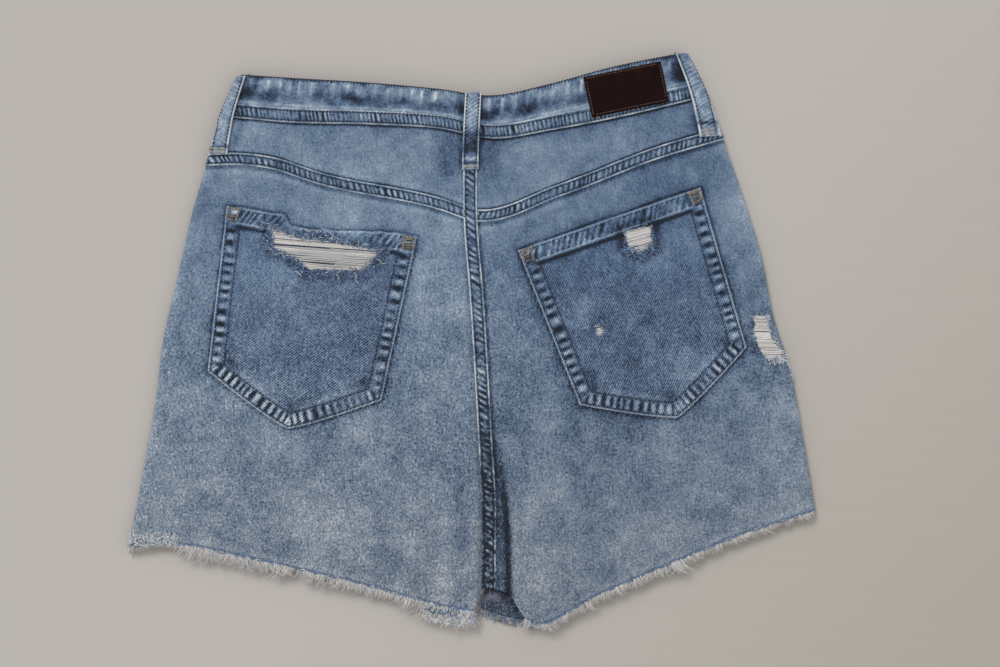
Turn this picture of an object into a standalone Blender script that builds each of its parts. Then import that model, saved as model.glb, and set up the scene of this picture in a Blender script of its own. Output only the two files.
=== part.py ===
"""Denim cut-off shorts, laid flat on a surface with their back uppermost.

The pattern is drawn in plan, in millimetres, with X across the garment, Y up
towards the waist and Z up from the surface.  Two layers lie on each other: the
fronts rest on the surface, and the yokes, back panels and waistband arch over
them and turn under at the side folds.  The waist and both legs stay open.
"""
import math
from collections import namedtuple

import bmesh
import bpy
import numpy as np

MM = 0.001

# ---------------------------------------------------------------- materials' thickness
CLOTH = 1.2            # one layer of denim
BAND = 2.2             # waistband: two layers and its turnings
LOOP_THICK = 2.1       # belt loop: a strip folded in three
LEATHER = 1.5          # waistband patch
GAP = 0.3              # clearance between neighbouring pieces
LAYER_GAP = 0.6        # clearance where faceted pieces lie on each other
FRONT_INSET = 1.2      # how far the fronts' side edges stay inside the turned-under backs

# ---------------------------------------------------------------- how the garment lies
DATUM = (-6.5, -5.5)   # middle of the garment's box in the pattern's coordinates
FOLD = 5.0             # half width of the rounded fold at each side
FOLD_ANGLES = (60, 30, 0, -30, -60, -90)   # steps round a side fold, in degrees
SIDE_HEIGHT = 8.0      # top of the back layer where it starts to turn under
CROWN = 2.4            # how much higher it stands between the sides
CHEEK = 2.6            # extra fullness of each seat cheek
CHEEK_PLACE = (118, -25)       # from the middle line, and height on the pattern
CHEEK_REACH = (80, 105)
WAIST_LIFT = 1.8       # the stiff waistband stands this much higher
BAND_FLOOR = 2.4       # the front waistband rests on its loops and button
BAND_RAMP = 60         # length over which the fronts rise to it
FRONT_DROP = 10        # the front waist is cut lower than the back
BAND_PROUD = 1.0       # how far the waistband's face stands above the yoke's

# ---------------------------------------------------------------- the outline, in plan
Side = namedtuple("Side", "height left right")
SIDES = (
    Side(226, -173, 180),
    Side(200, -186, 192),
    Side(163, -202, 207),
    Side(125, -216, 219),
    Side(62, -234, 236),
    Side(6, -249, 245),
    Side(-26, -254, 254),
    Side(-85, -267, 263),
    Side(-152, -283, 271),
)

Waist = namedtuple("Waist", "across top seam")
WAIST = (
    Waist(-190, 225, 190.5),
    Waist(-135, 218.5, 183),
    Waist(-71, 211.5, 178.5),
    Waist(-16, 204, 172.5),
    Waist(25, 197, 163),
    Waist(72, 204, 167.5),
    Waist(121, 215, 174.5),
    Waist(197, 227, 189),
)

Yoke = namedtuple("Yoke", "across seam")
YOKE = (
    Yoke(-203, 162),
    Yoke(-180, 161.5),
    Yoke(-151, 156.5),
    Yoke(-118, 144),
    Yoke(-19, 118),
    Yoke(8, 108),
    Yoke(77, 125),
    Yoke(159, 152),
    Yoke(208, 164),
)

Centre = namedtuple("Centre", "height across")
CENTRE = (
    Centre(205, 11.5),
    Centre(150, 6.5),
    Centre(100, 4.2),
    Centre(40, 6.2),
    Centre(-85, 8.0),
    Centre(-125, 8.6),
    Centre(-180, 6.0),
)

Hem = namedtuple("Hem", "across height reach")      # reach: length of the fringe
HEM_LEFT = (
    Hem(-283, -150, 8),
    Hem(-255, -149, 4),
    Hem(-234, -151, 12),
    Hem(-190, -162, 14),
    Hem(-113, -183, 12),
    Hem(-58, -200, 14),
    Hem(-30, -209, 18),
    Hem(-14, -213, 13),
)
HEM_RIGHT = (
    Hem(33, -222, 8),
    Hem(45, -227, 8),
    Hem(61, -221.5, 9),
    Hem(86, -208.5, 9),
    Hem(126, -192.5, 9),
    Hem(175, -174.5, 8),
    Hem(212, -161.5, 8),
    Hem(271, -146, 6),
)
CROTCH_TOP = -184                  # where the inner legs leave the centre seam
LEG_LEFT = ((-184, 5.5), (-197, 1.5), (-211, -6))       # height, across
LEG_RIGHT = ((-184, 6.5), (-197, 7.5), (-202, 22), (-222, 33))
FRONT_LEG_LEFT = ((-184, 5.5), (-200, -2), (-209, -12))
FRONT_LEG_RIGHT = ((-184, 6.5), (-198, 2.2), (-214, -2))
FRONT_HEM_SHORTER = 3              # the front hems hide behind the back ones
FRONT_HEM_INNER = ((-2, -214), (17, -221), (38, -226))     # across, height

# ---------------------------------------------------------------- folds of the back layer
Valley = namedtuple("Valley", "height depth width")        # along the centre seam
VALLEY = (
    Valley(226, 0.0, 2),
    Valley(165, 0.6, 2),
    Valley(100, 1.6, 2),
    Valley(0, 2.4, 3),
    Valley(-60, 3.0, 5),
    Valley(-115, 5.0, 10),
    Valley(-160, 6.2, 13),
    Valley(-200, 6.6, 14),
)
VALLEY_WALL = 9                    # plan width of each of its sides

Crease = namedtuple("Crease", "across height turn length width rise")
CREASES = (
    Crease(-52, -120, 84, 75, 13, 1.3),
    Crease(-140, -95, 62, 60, 17, -1.0),
    Crease(-205, -70, 80, 55, 14, 0.9),
    Crease(48, -130, 104, 62, 12, 1.4),
    Crease(150, -95, 118, 60, 16, -1.0),
    Crease(222, -85, 100, 48, 12, 0.8),
    Crease(-120, 150, 168, 50, 10, 0.5),
    Crease(120, 150, 16, 50, 10, 0.5),
)

# ---------------------------------------------------------------- what is sewn on
Pocket = namedtuple("Pocket", "across height lean")        # middle of its top edge
POCKETS = {"left": Pocket(-114.6, 103.3, -12.0), "right": Pocket(114.8, 94.9, 16.4)}
POCKET_TOP = 154
POCKET_FOOT = 141
POCKET_SIDE = 133
POCKET_TIP = 35

PATCH_SIZE = (63, 33)
PATCH_PLACE = (133.0, 197.2)
PATCH_TURN = 9.3

LOOP_WIDTH = 13
BACK_LOOP_TOP = 1.5                # how far it stands past the waistband's edge
BACK_LOOP_FOOT = 27                # how far it runs on below the waistband's seam
Loop = namedtuple("Loop", "height inner turned")
# inner: its inner edge's distance from the fold; turned: angle it reaches on the fold
SIDE_LOOPS = {
    "left": (Loop(222, 5.2, -20), Loop(190, 9.5, 5), Loop(160, 15.5, 46)),
    "right": (Loop(224, 7.0, -20), Loop(190, 12.0, 10), Loop(157, 19.0, 58)),
}
FRONT_LOOP_PLACE = 92              # from the middle line
FRONT_LOOP_SPAN = (3, 10)          # past the waistband's edge and its seam

OVERLAP = 18                       # waistband ends past the centre front
UNDERLAP_RAMP = 26
BUTTON_RADIUS = 8.5
BUTTON_THICK = 2.1
FLY_WIDTH = 36
FLY_LENGTH = 140

SCOOP = (82, 74)                   # front pocket opening: along the waist and the side
FACING_REACH = 14                  # how far its facing runs behind the front

# ---------------------------------------------------------------- steps of the faceted cloth
INNER_COLUMNS = (0, 0.018, 0.038, 0.06, 0.085, 0.12, 0.17, 0.25, 0.36, 0.48, 0.60, 0.72, 0.84, 0.93, 1)
BACK_ROWS = (0, 0.08, 0.16, 0.25, 0.34, 0.43, 0.52, 0.61, 0.69, 0.77, 0.84, 0.905, 0.925, 0.942, 1)
YOKE_ROWS = np.linspace(0, 1, 4)
BAND_ROWS = np.linspace(0, 1, 4)

COLOURS = {
    "denim": (0.20, 0.26, 0.35, 1),
    "fringe": (0.62, 0.60, 0.55, 1),
    "leather": (0.018, 0.009, 0.008, 1),
    "metal": (0.45, 0.33, 0.20, 1),
}


# ================================================================ curves and heights
def graph(rows):
    """A smooth curve through (place, value) rows, running straight on past its ends."""
    knots, values = np.array(sorted(rows), float).T
    slopes = np.gradient(values, knots)

    def read(at):
        at = np.asarray(at, float)
        i = np.clip(np.searchsorted(knots, at) - 1, 0, len(knots) - 2)
        span = knots[i + 1] - knots[i]
        t = np.clip((at - knots[i]) / span, 0, 1)
        past = at - knots[i] - t * span
        curve = (
            (1 + 2 * t) * (1 - t) ** 2 * values[i]
            + t * (1 - t) ** 2 * span * slopes[i]
            + t * t * (3 - 2 * t) * values[i + 1]
            + t * t * (t - 1) * span * slopes[i + 1]
        )
        return curve + past * np.where(t > 0.5, slopes[i + 1], slopes[i])

    return read


def polyline(rows):
    """Straight runs through (place, value) rows."""
    knots, values = np.array(sorted(rows), float).T
    return lambda at: np.interp(at, knots, values)


side = {
    "left": graph([(row.height, row.left) for row in SIDES]),
    "right": graph([(row.height, row.right) for row in SIDES]),
}
waist_top = graph([(row.across, row.top) for row in WAIST])
waist_seam = graph([(row.across, row.seam) for row in WAIST])
yoke_seam = graph([(row.across, row.seam) for row in YOKE])
centre_seam = graph([(row.height, row.across) for row in CENTRE])
valley_depth = graph([(row.height, row.depth) for row in VALLEY])
valley_width = graph([(row.height, row.width) for row in VALLEY])
hem = {"left": graph([row[:2] for row in HEM_LEFT]), "right": graph([row[:2] for row in HEM_RIGHT])}
reach = {
    "left": graph([(row.across, row.reach) for row in HEM_LEFT]),
    "right": graph([(row.across, row.reach) for row in HEM_RIGHT]),
}
SIGN = {"left": -1, "right": 1}


def ramp(start, end, at):
    """0 before start, 1 past end and a soft S between."""
    t = np.clip((np.asarray(at, float) - start) / (end - start), 0, 1)
    return t * t * (3 - 2 * t)


def across_share(x, y):
    """-1 at the left fold, 0 in the middle and 1 at the right fold."""
    left, right = side["left"](y), side["right"](y)
    return (2 * x - left - right) / (right - left)


def front_drop(x):
    """How much lower the front waist lies than the back at this place."""
    left, right = side["left"](215), side["right"](215)
    share = np.clip((2 * np.asarray(x, float) - left - right) / (right - left), -1, 1)
    return FRONT_DROP * (1 - share ** 2)


def front_top(x):
    return waist_top(x) - front_drop(x)


def front_seam(x):
    return waist_seam(x) - front_drop(x)


def floor_height(x, y):
    """Underside of the front layer: on the surface, rising to the waistband."""
    return BAND_FLOOR * ramp(front_seam(x) - BAND_RAMP, front_seam(x), y)


def back_height(x, y):
    """Outer face of the back layer above the surface."""
    x, y = np.asarray(x, float), np.asarray(y, float)
    high = SIDE_HEIGHT + CROWN * (1 - np.abs(across_share(x, y)) ** 3)
    high = high + WAIST_LIFT * ramp(120, 185, y)
    off = np.abs(x - centre_seam(y)) - CHEEK_PLACE[0]
    up = y - CHEEK_PLACE[1]
    high = high + CHEEK * np.exp(-(off / CHEEK_REACH[0]) ** 2 - (up / CHEEK_REACH[1]) ** 2)
    for crease in CREASES:
        turn = math.radians(crease.turn)
        along = (x - crease.across) * math.cos(turn) + (y - crease.height) * math.sin(turn)
        beside = (y - crease.height) * math.cos(turn) - (x - crease.across) * math.sin(turn)
        high = high + crease.rise * np.exp(-(along / crease.length) ** 2 - (beside / crease.width) ** 2)
    past = x - centre_seam(y)
    inside = ramp(-VALLEY_WALL - 3, -3, past)
    inside = inside * (1 - ramp(valley_width(y), valley_width(y) + VALLEY_WALL, past))
    return high - valley_depth(y) * inside


# ================================================================ grids of points
def meet(across, down, guess):
    """The point where a curve y = across(x) crosses a curve x = down(y)."""
    x, y = guess
    for _ in range(40):
        y = float(across(x))
        x = float(down(y))
    return np.array((x, y))


def run_across(curve, start, end, shares):
    """Points along y = curve(x) from start to end."""
    x = start[0] + (end[0] - start[0]) * np.asarray(shares)
    points = np.stack((x, curve(x)), axis=1)
    points[0], points[-1] = start, end
    return points


def run_down(curve, start, end, shares):
    """Points along x = curve(y) from start to end."""
    y = start[1] + (end[1] - start[1]) * np.asarray(shares)
    points = np.stack((curve(y), y), axis=1)
    points[0], points[-1] = start, end
    return points


def coons(top, foot, inner, outer, columns, rows):
    """Plan points of a panel from its four edges; returns rows x columns x 2."""
    u = np.asarray(columns, float)[None, :, None]
    v = np.asarray(rows, float)[:, None, None]
    between = (1 - v) * top[None] + v * foot[None]
    between = between + (1 - u) * inner[:, None] + u * outer[:, None]
    corners = (1 - v) * ((1 - u) * top[0] + u * top[-1]) + v * ((1 - u) * foot[0] + u * foot[-1])
    return between - corners


def panel(top_curve, foot_curve, inner_curve, outer_curve, columns, rows, guesses):
    """Plan points of a panel between two across curves and two down curves."""
    corners = [
        meet(across, down, guess)
        for across, down, guess in (
            (top_curve, inner_curve, guesses[0]),
            (top_curve, outer_curve, guesses[1]),
            (foot_curve, inner_curve, guesses[2]),
            (foot_curve, outer_curve, guesses[3]),
        )
    ]
    return coons(
        run_across(top_curve, corners[0], corners[1], columns),
        run_across(foot_curve, corners[2], corners[3], columns),
        run_down(inner_curve, corners[0], corners[2], rows),
        run_down(outer_curve, corners[1], corners[3], rows),
        columns,
        rows,
    )


def raised(plan, height):
    """Plan points with their height added."""
    return np.concatenate((plan, height[..., None]), axis=-1)


def back_layer(plan, thick=CLOTH, proud=0.0):
    """Outer and inner points of cloth lying in the back layer."""
    high = back_height(plan[..., 0], plan[..., 1]) + proud
    return raised(plan, high), raised(plan, high - thick)


def turned_under(outer, inner, sign, thick):
    """The columns that carry a back panel's edge round its side fold."""
    x, y, top = outer[:, -1, 0], outer[:, -1, 1], outer[:, -1, 2]
    low = floor_height(x, y)
    half, middle = (top - low) / 2, (top + low) / 2
    outer_columns, inner_columns = [outer], [inner]
    for degrees in FOLD_ANGLES:
        cos, sin = math.cos(math.radians(degrees)), math.sin(math.radians(degrees))
        outer_columns.append(
            np.stack((x + sign * FOLD * cos, y, middle + half * sin), axis=1)[:, None]
        )
        inner_columns.append(
            np.stack((x + sign * (FOLD - thick) * cos, y, middle + (half - thick) * sin), axis=1)[:, None]
        )
    return np.concatenate(outer_columns, axis=1), np.concatenate(inner_columns, axis=1)


def front_layer(plan, thick=CLOTH, above=0.0):
    """Outer (lower) and inner (upper) points of cloth lying in the front layer."""
    low = floor_height(plan[..., 0], plan[..., 1]) + above
    return raised(plan, low), raised(plan, low + thick)


# ================================================================ solids
def material(kind):
    found = bpy.data.materials.get(kind)
    if found:
        return found
    made = bpy.data.materials.new(kind)
    made.use_nodes = True
    shader = made.node_tree.nodes["Principled BSDF"]
    shader.inputs["Base Color"].default_value = COLOURS[kind]
    shader.inputs["Roughness"].default_value = 0.35 if kind == "metal" else 0.85
    shader.inputs["Metallic"].default_value = 1.0 if kind == "metal" else 0.0
    return made


def finish(name, mesh, kind):
    """Put a mesh made in pattern millimetres into the scene in metres."""
    bmesh.ops.translate(mesh, verts=mesh.verts, vec=(-DATUM[0], -DATUM[1], 0))
    bmesh.ops.scale(mesh, verts=mesh.verts, vec=(MM, MM, MM))
    bmesh.ops.recalc_face_normals(mesh, faces=mesh.faces)
    data = bpy.data.meshes.new(name)
    mesh.to_mesh(data)
    mesh.free()
    data.materials.append(material(kind))
    data.shade_smooth()
    data.set_sharp_from_angle(angle=math.radians(40))
    bpy.context.scene.collection.objects.link(bpy.data.objects.new(name, data))


def wall(name, layers, kind="denim"):
    """A closed sheet of cloth between its outer and inner grids of points."""
    outer, inner = layers
    rows, columns = outer.shape[:2]
    mesh = bmesh.new()
    faces = [
        [[mesh.verts.new(grid[i, j]) for j in range(columns)] for i in range(rows)]
        for grid in (outer, inner)
    ]
    for i in range(rows - 1):
        for j in range(columns - 1):
            for grid in faces:
                mesh.faces.new((grid[i][j], grid[i][j + 1], grid[i + 1][j + 1], grid[i + 1][j]))
    rim = [(0, j) for j in range(columns)]
    rim += [(i, columns - 1) for i in range(1, rows)]
    rim += [(rows - 1, j) for j in range(columns - 2, -1, -1)]
    rim += [(i, 0) for i in range(rows - 2, 0, -1)]
    for here, there in zip(rim, rim[1:] + rim[:1]):
        mesh.faces.new(
            (
                faces[0][here[0]][here[1]],
                faces[0][there[0]][there[1]],
                faces[1][there[0]][there[1]],
                faces[1][here[0]][here[1]],
            )
        )
    finish(name, mesh, kind)


def shifted(curve, by):
    """The same curve moved along its value by a constant."""
    return lambda at: curve(at) + by


def fold_start(which):
    """Where the back layer leaves the flat to turn round its side fold."""
    return shifted(side[which], -SIGN[which] * FOLD)


def inner_edge(which, leg):
    """Edge along the centre seam, then down the inner leg."""
    sign = SIGN[which]
    down_leg = polyline(leg)
    low = min(height for height, _ in leg)

    def read(y):
        y = np.asarray(y, float)
        seam = centre_seam(y) + sign * GAP / 2
        return np.where(y > CROTCH_TOP, seam, down_leg(np.maximum(y, low)) + sign * GAP / 2)

    return read


# ================================================================ the garment's pieces
def make_backs():
    for which, leg in (("left", LEG_LEFT), ("right", LEG_RIGHT)):
        sign = SIGN[which]
        plan = panel(
            shifted(yoke_seam, -GAP / 2),
            hem[which],
            inner_edge(which, leg),
            fold_start(which),
            INNER_COLUMNS,
            BACK_ROWS,
            ((0, 108), (sign * 200, 160), leg[-1][::-1], (sign * 270, -150)),
        )
        wall(f"back_{which}", turned_under(*back_layer(plan), sign, CLOTH))


def make_yokes():
    for which in ("left", "right"):
        sign = SIGN[which]
        plan = panel(
            shifted(waist_seam, -GAP / 2),
            shifted(yoke_seam, GAP / 2),
            shifted(centre_seam, sign * GAP / 2),
            fold_start(which),
            INNER_COLUMNS,
            YOKE_ROWS,
            ((0, 170), (sign * 190, 190), (0, 108), (sign * 200, 160)),
        )
        wall(f"yoke_{which}", turned_under(*back_layer(plan), sign, CLOTH))


def make_waistband():
    """One strip from the centre front round the back and to the centre front again."""
    outer_rows, inner_rows = [], []
    middle = float(centre_seam(190))
    for share in BAND_ROWS:
        def back(x):
            return waist_top(x) + (waist_seam(x) + GAP / 2 - waist_top(x)) * share

        def front(x):
            return front_top(x) + (front_seam(x) + GAP / 2 - front_top(x)) * share

        left, right = (
            meet(back, fold_start(which), (SIGN[which] * 180, 205)) for which in ("left", "right")
        )
        under = front_strip(middle + OVERLAP, left[0], front, np.linspace(0, 1, 11), False)
        over = run_across(back, left, right, np.linspace(0, 1, 25))[None]
        over = back_layer(over, BAND, BAND_PROUD)
        lap = front_strip(right[0], middle - OVERLAP, front, np.linspace(0, 1, 15), True)
        left_fold = turned_under(over[0][:, ::-1], over[1][:, ::-1], -1, BAND)
        right_fold = turned_under(*over, 1, BAND)
        steps = len(FOLD_ANGLES)
        for rows, k in ((outer_rows, 0), (inner_rows, 1)):
            rows.append(
                np.concatenate(
                    (
                        under[k][:-1],
                        left_fold[k][0, ::-1][:steps],
                        right_fold[k][0],
                        lap[k][1:],
                    )
                )
            )
    wall("waistband", (np.array(outer_rows), np.array(inner_rows)))


def front_strip(start, end, curve, shares, lapped):
    """Outer and inner points along the front waistband; a lapped end rises over the other."""
    x = start + (end - start) * np.asarray(shares)
    low = np.full_like(x, BAND_FLOOR)
    if lapped:
        middle = float(centre_seam(190))
        low = low + (BAND + GAP) * (1 - ramp(middle + OVERLAP + 2, middle + OVERLAP + UNDERLAP_RAMP, x))
    return np.stack((x, curve(x), low), axis=1), np.stack((x, curve(x), low + BAND), axis=1)


def pocket_edges(pocket):
    """Top, foot and sides of a patch pocket, turned about the middle of its top edge."""
    turn = math.radians(pocket.lean)
    across = np.array((math.cos(turn), math.sin(turn)))
    down = np.array((math.sin(turn), -math.cos(turn)))
    origin = np.array((pocket.across, pocket.height))

    def at(points):
        return origin + points[:, :1] * across + points[:, 1:] * down

    u = np.linspace(-1, 1, 11)
    v = np.linspace(0, 1, 9)
    half = POCKET_TOP / 2 + (POCKET_FOOT - POCKET_TOP) / 2 * v
    tip = POCKET_SIDE + POCKET_TIP * (1 - np.abs(u) ** 1.15)
    top = at(np.stack((u * POCKET_TOP / 2, 0 * u), axis=1))
    foot = at(np.stack((u * POCKET_FOOT / 2, tip), axis=1))
    left = at(np.stack((-half, POCKET_SIDE * v), axis=1))
    right = at(np.stack((half, POCKET_SIDE * v), axis=1))
    return top, foot, left, right, (u + 1) / 2, v


def make_pockets():
    for which, pocket in POCKETS.items():
        plan = coons(*pocket_edges(pocket))
        wall(f"pocket_{which}", back_layer(plan, CLOTH, CLOTH + GAP))


def make_patch():
    turn = math.radians(PATCH_TURN)
    u = np.linspace(-0.5, 0.5, 7)[None, :] * PATCH_SIZE[0]
    v = np.linspace(0.5, -0.5, 4)[:, None] * PATCH_SIZE[1]
    x = PATCH_PLACE[0] + u * math.cos(turn) - v * math.sin(turn)
    y = PATCH_PLACE[1] + u * math.sin(turn) + v * math.cos(turn)
    plan = np.stack((x, y), axis=-1)
    wall("patch", back_layer(plan, LEATHER, BAND_PROUD + GAP + LEATHER), "leather")


def strip(heights, left_edge, right_edge, columns=3):
    """Plan points of a narrow strip between two down curves."""
    heights = np.asarray(heights, float)
    u = np.linspace(0, 1, columns)[None, :]
    x = left_edge(heights)[:, None] * (1 - u) + right_edge(heights)[:, None] * u
    return np.stack((x, np.repeat(heights[:, None], columns, axis=1)), axis=-1)


def make_back_loop():
    top = float(waist_top(11)) + BACK_LOOP_TOP
    seam = float(waist_seam(8))
    foot = seam - BACK_LOOP_FOOT
    heights = (top, top - 8, (top + seam) / 2, seam + 6, seam, seam - 3, seam - 9, (seam + foot) / 2, foot)
    plan = strip(
        heights,
        shifted(centre_seam, -LOOP_WIDTH / 2),
        shifted(centre_seam, LOOP_WIDTH / 2),
    )
    outer, inner = back_layer(plan, LOOP_THICK, LOOP_THICK + GAP)
    proud = BAND_PROUD * ramp(seam - 9, seam - 3, plan[..., 1])
    outer[..., 2] += proud
    inner[..., 2] += proud
    wall("loop_back", (outer, inner))


def make_side_loops():
    """Loops at the sides, each turned partly round its fold with the waistband."""
    for which, rows in SIDE_LOOPS.items():
        sign = SIGN[which]
        inner_at = graph([(row.height, row.inner) for row in rows])
        turned_at = graph([(row.height, row.turned) for row in rows])
        heights = np.linspace(rows[0].height, rows[-1].height, 9)
        outer, inner = [], []
        for height in heights:
            edge = float(side[which](height))
            flat = edge - sign * np.linspace(float(inner_at(height)), FOLD, 3)
            proud = BAND_PROUD * float(ramp(waist_seam(edge) - 9, waist_seam(edge) - 2, height))
            top = back_height(flat, height) + proud
            low = float(floor_height(edge, height))
            half, middle = (top[-1] - low) / 2, (top[-1] + low) / 2
            over = [(x, height, z + LAYER_GAP) for x, z in zip(flat, top)]
            past = [(x, height, z + LAYER_GAP + LOOP_THICK) for x, z in zip(flat, top)]
            for degrees in np.linspace(90, float(turned_at(height)), 6)[1:]:
                cos, sin = math.cos(math.radians(degrees)), math.sin(math.radians(degrees))
                for row, out in ((over, LAYER_GAP), (past, LAYER_GAP + LOOP_THICK)):
                    x = edge - sign * FOLD + sign * (FOLD + out) * cos
                    row.append((x, height, middle + (half + out) * sin))
            outer.append(past)
            inner.append(over)
        wall(f"loop_{which}", (np.array(outer), np.array(inner)))


def make_front_loops():
    for which in ("left", "right"):
        x = float(centre_seam(190)) + SIGN[which] * FRONT_LOOP_PLACE
        top = float(front_top(x)) + FRONT_LOOP_SPAN[0]
        foot = float(front_seam(x)) - FRONT_LOOP_SPAN[1]
        plan = strip(
            np.linspace(top, foot, 5),
            lambda y: np.full_like(y, x - LOOP_WIDTH / 2),
            lambda y: np.full_like(y, x + LOOP_WIDTH / 2),
        )
        low = floor_height(plan[..., 0], plan[..., 1]) - GAP - LOOP_THICK
        low = np.maximum(low, 0.0)
        high = np.minimum(low + LOOP_THICK, floor_height(plan[..., 0], plan[..., 1]) - GAP)
        wall(f"loop_front_{which}", (raised(plan, low), raised(plan, high)))


def front_outer_edge(which):
    """The scooped pocket opening, then the outseam down to the hem."""
    sign = SIGN[which]
    edge = shifted(side[which], -sign * (FOLD + FRONT_INSET))
    corner = meet(shifted(front_seam, -GAP / 2), edge, (sign * 185, 189))
    angles = np.radians(np.linspace(0, 90, 6))
    heights = corner[1] - SCOOP[1] * np.sin(angles)
    scoop = np.stack((edge(heights) - sign * SCOOP[0] * np.cos(angles), heights), axis=1)
    scoop[0, 1] = float(front_seam(scoop[0, 0])) - GAP / 2
    foot = meet(front_hem(which), edge, (sign * 270, -147))
    below = np.linspace(heights[-1], foot[1], 8)[1:]
    outseam = np.stack((edge(below), below), axis=1)
    return np.concatenate((scoop, outseam))


def front_hem(which):
    shorter = shifted(hem[which], FRONT_HEM_SHORTER)
    if which == "left":
        return shorter
    inner = polyline(FRONT_HEM_INNER)
    join = FRONT_HEM_INNER[-1][0]
    return lambda x: np.where(np.asarray(x, float) < join, inner(x), shorter(x))


def make_fronts():
    for which, leg in (("left", FRONT_LEG_LEFT), ("right", FRONT_LEG_RIGHT)):
        outer = front_outer_edge(which)
        shares = (outer[0, 1] - outer[:, 1]) / (outer[0, 1] - outer[-1, 1])
        columns = np.linspace(0, 1, 11)
        inner_curve = inner_edge(which, leg)
        top_curve = shifted(front_seam, -GAP / 2)
        start = meet(top_curve, inner_curve, (8, 160))
        end = meet(front_hem(which), inner_curve, leg[-1][::-1])
        plan = coons(
            run_across(top_curve, start, outer[0], columns),
            run_across(front_hem(which), end, outer[-1], columns),
            run_down(inner_curve, start, end, shares),
            outer,
            columns,
            shares,
        )
        wall(f"front_{which}", front_layer(plan))


def make_pocket_facings():
    """The hip pieces that show inside the scooped front pockets."""
    for which in ("left", "right"):
        sign = SIGN[which]
        edge = shifted(side[which], -sign * (FOLD + FRONT_INSET))
        top_curve = shifted(front_seam, -GAP / 2)
        corner = meet(top_curve, edge, (sign * 185, 189))
        rows = np.linspace(0, 1, 7)
        heights = corner[1] - (SCOOP[1] + FACING_REACH) * rows
        outer = np.stack((edge(heights), heights), axis=1)
        outer[0] = corner
        width = (SCOOP[0] + FACING_REACH) * (1 - 0.55 * rows ** 1.6)
        inner = outer - np.stack((sign * width, 0 * width), axis=1)
        inner[0, 1] = float(top_curve(inner[0, 0]))
        columns = np.linspace(0, 1, 6)
        plan = coons(
            run_across(top_curve, inner[0], corner, columns),
            inner[-1] + (outer[-1] - inner[-1]) * columns[:, None],
            inner,
            outer,
            columns,
            rows,
        )
        wall(f"pocket_facing_{which}", front_layer(plan, CLOTH, CLOTH + LAYER_GAP))


def make_fly():
    """The facing behind the centre front, curving back to the seam at its foot."""
    rows = np.linspace(0, 1, 9)
    top_curve = shifted(front_seam, -GAP / 2)
    middle = float(centre_seam(155))
    top = float(top_curve(middle))
    heights = top - FLY_LENGTH * rows
    width = FLY_WIDTH * np.sqrt(1 - np.clip((rows - 0.68) / 0.34, 0, 1) ** 2)
    inner = np.stack((centre_seam(heights) + 4, heights), axis=1)
    outer = np.stack((centre_seam(heights) + 4 - width - 4, heights), axis=1)
    inner[0, 1] = float(top_curve(inner[0, 0]))
    outer[0, 1] = float(top_curve(outer[0, 0]))
    columns = np.linspace(0, 1, 4)
    plan = coons(
        run_across(top_curve, inner[0], outer[0], columns),
        inner[-1] + (outer[-1] - inner[-1]) * columns[:, None],
        inner,
        outer,
        columns,
        rows,
    )
    wall("fly", front_layer(plan, CLOTH, CLOTH + LAYER_GAP))


def make_button():
    x = float(centre_seam(190))
    y = (float(front_top(x)) + float(front_seam(x))) / 2
    mesh = bmesh.new()
    bmesh.ops.create_cone(
        mesh,
        cap_ends=True,
        segments=24,
        radius1=BUTTON_RADIUS - 0.8,
        radius2=BUTTON_RADIUS,
        depth=BUTTON_THICK,
    )
    bmesh.ops.translate(mesh, verts=mesh.verts, vec=(x, y, BUTTON_THICK / 2))
    finish("button", mesh, "metal")


def make_fringes():
    """The reach of the frayed hems, below each cut edge."""
    for which, leg in (("left", LEG_LEFT), ("right", LEG_RIGHT)):
        sign = SIGN[which]
        cut = shifted(hem[which], -GAP)

        def tips(x, which=which):
            return hem[which](x) - reach[which](x)

        plan = panel(
            cut,
            tips,
            lambda y, leg=leg, sign=sign: np.full_like(np.asarray(y, float), leg[-1][1] + sign),
            fold_start(which),
            INNER_COLUMNS,
            (0, 1),
            (leg[-1][::-1], (sign * 270, -150), leg[-1][::-1], (sign * 270, -158)),
        )
        wall(f"fringe_{which}", turned_under(*back_layer(plan), sign, CLOTH), "fringe")


def make_front_fringe():
    """Fraying of the right front, which shows between the legs."""
    x = np.linspace(FRONT_HEM_INNER[0][0] + 1, 44, 6)
    cut = front_hem("right")(x) - GAP
    plan = np.stack((np.stack((x, cut), axis=1), np.stack((x, cut - 6), axis=1)))
    wall("fringe_front", front_layer(plan), "fringe")


def main():
    for thing in list(bpy.data.objects):
        bpy.data.objects.remove(thing)
    make_backs()
    make_yokes()
    make_waistband()
    make_pockets()
    make_patch()
    make_back_loop()
    make_side_loops()
    make_front_loops()
    make_fronts()
    make_pocket_facings()
    make_fly()
    make_button()
    make_fringes()
    make_front_fringe()


main()
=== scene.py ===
"""Finish of the denim cut-off shorts, which lie on a pale surface with their back uppermost.

Lengths are pattern millimetres, as in the part: X across, Y up towards the waist and Z up
from the surface.  lay() wraps a point of the back layer round the garment's sides, so that
every panel, seam, loop, stitch and thread is placed by its across and height alone.  Each
cloth vertex carries its tone, from 0 for navy to 1 for bleached, and the denim adds weave.
"""
import math
from collections import namedtuple

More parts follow.
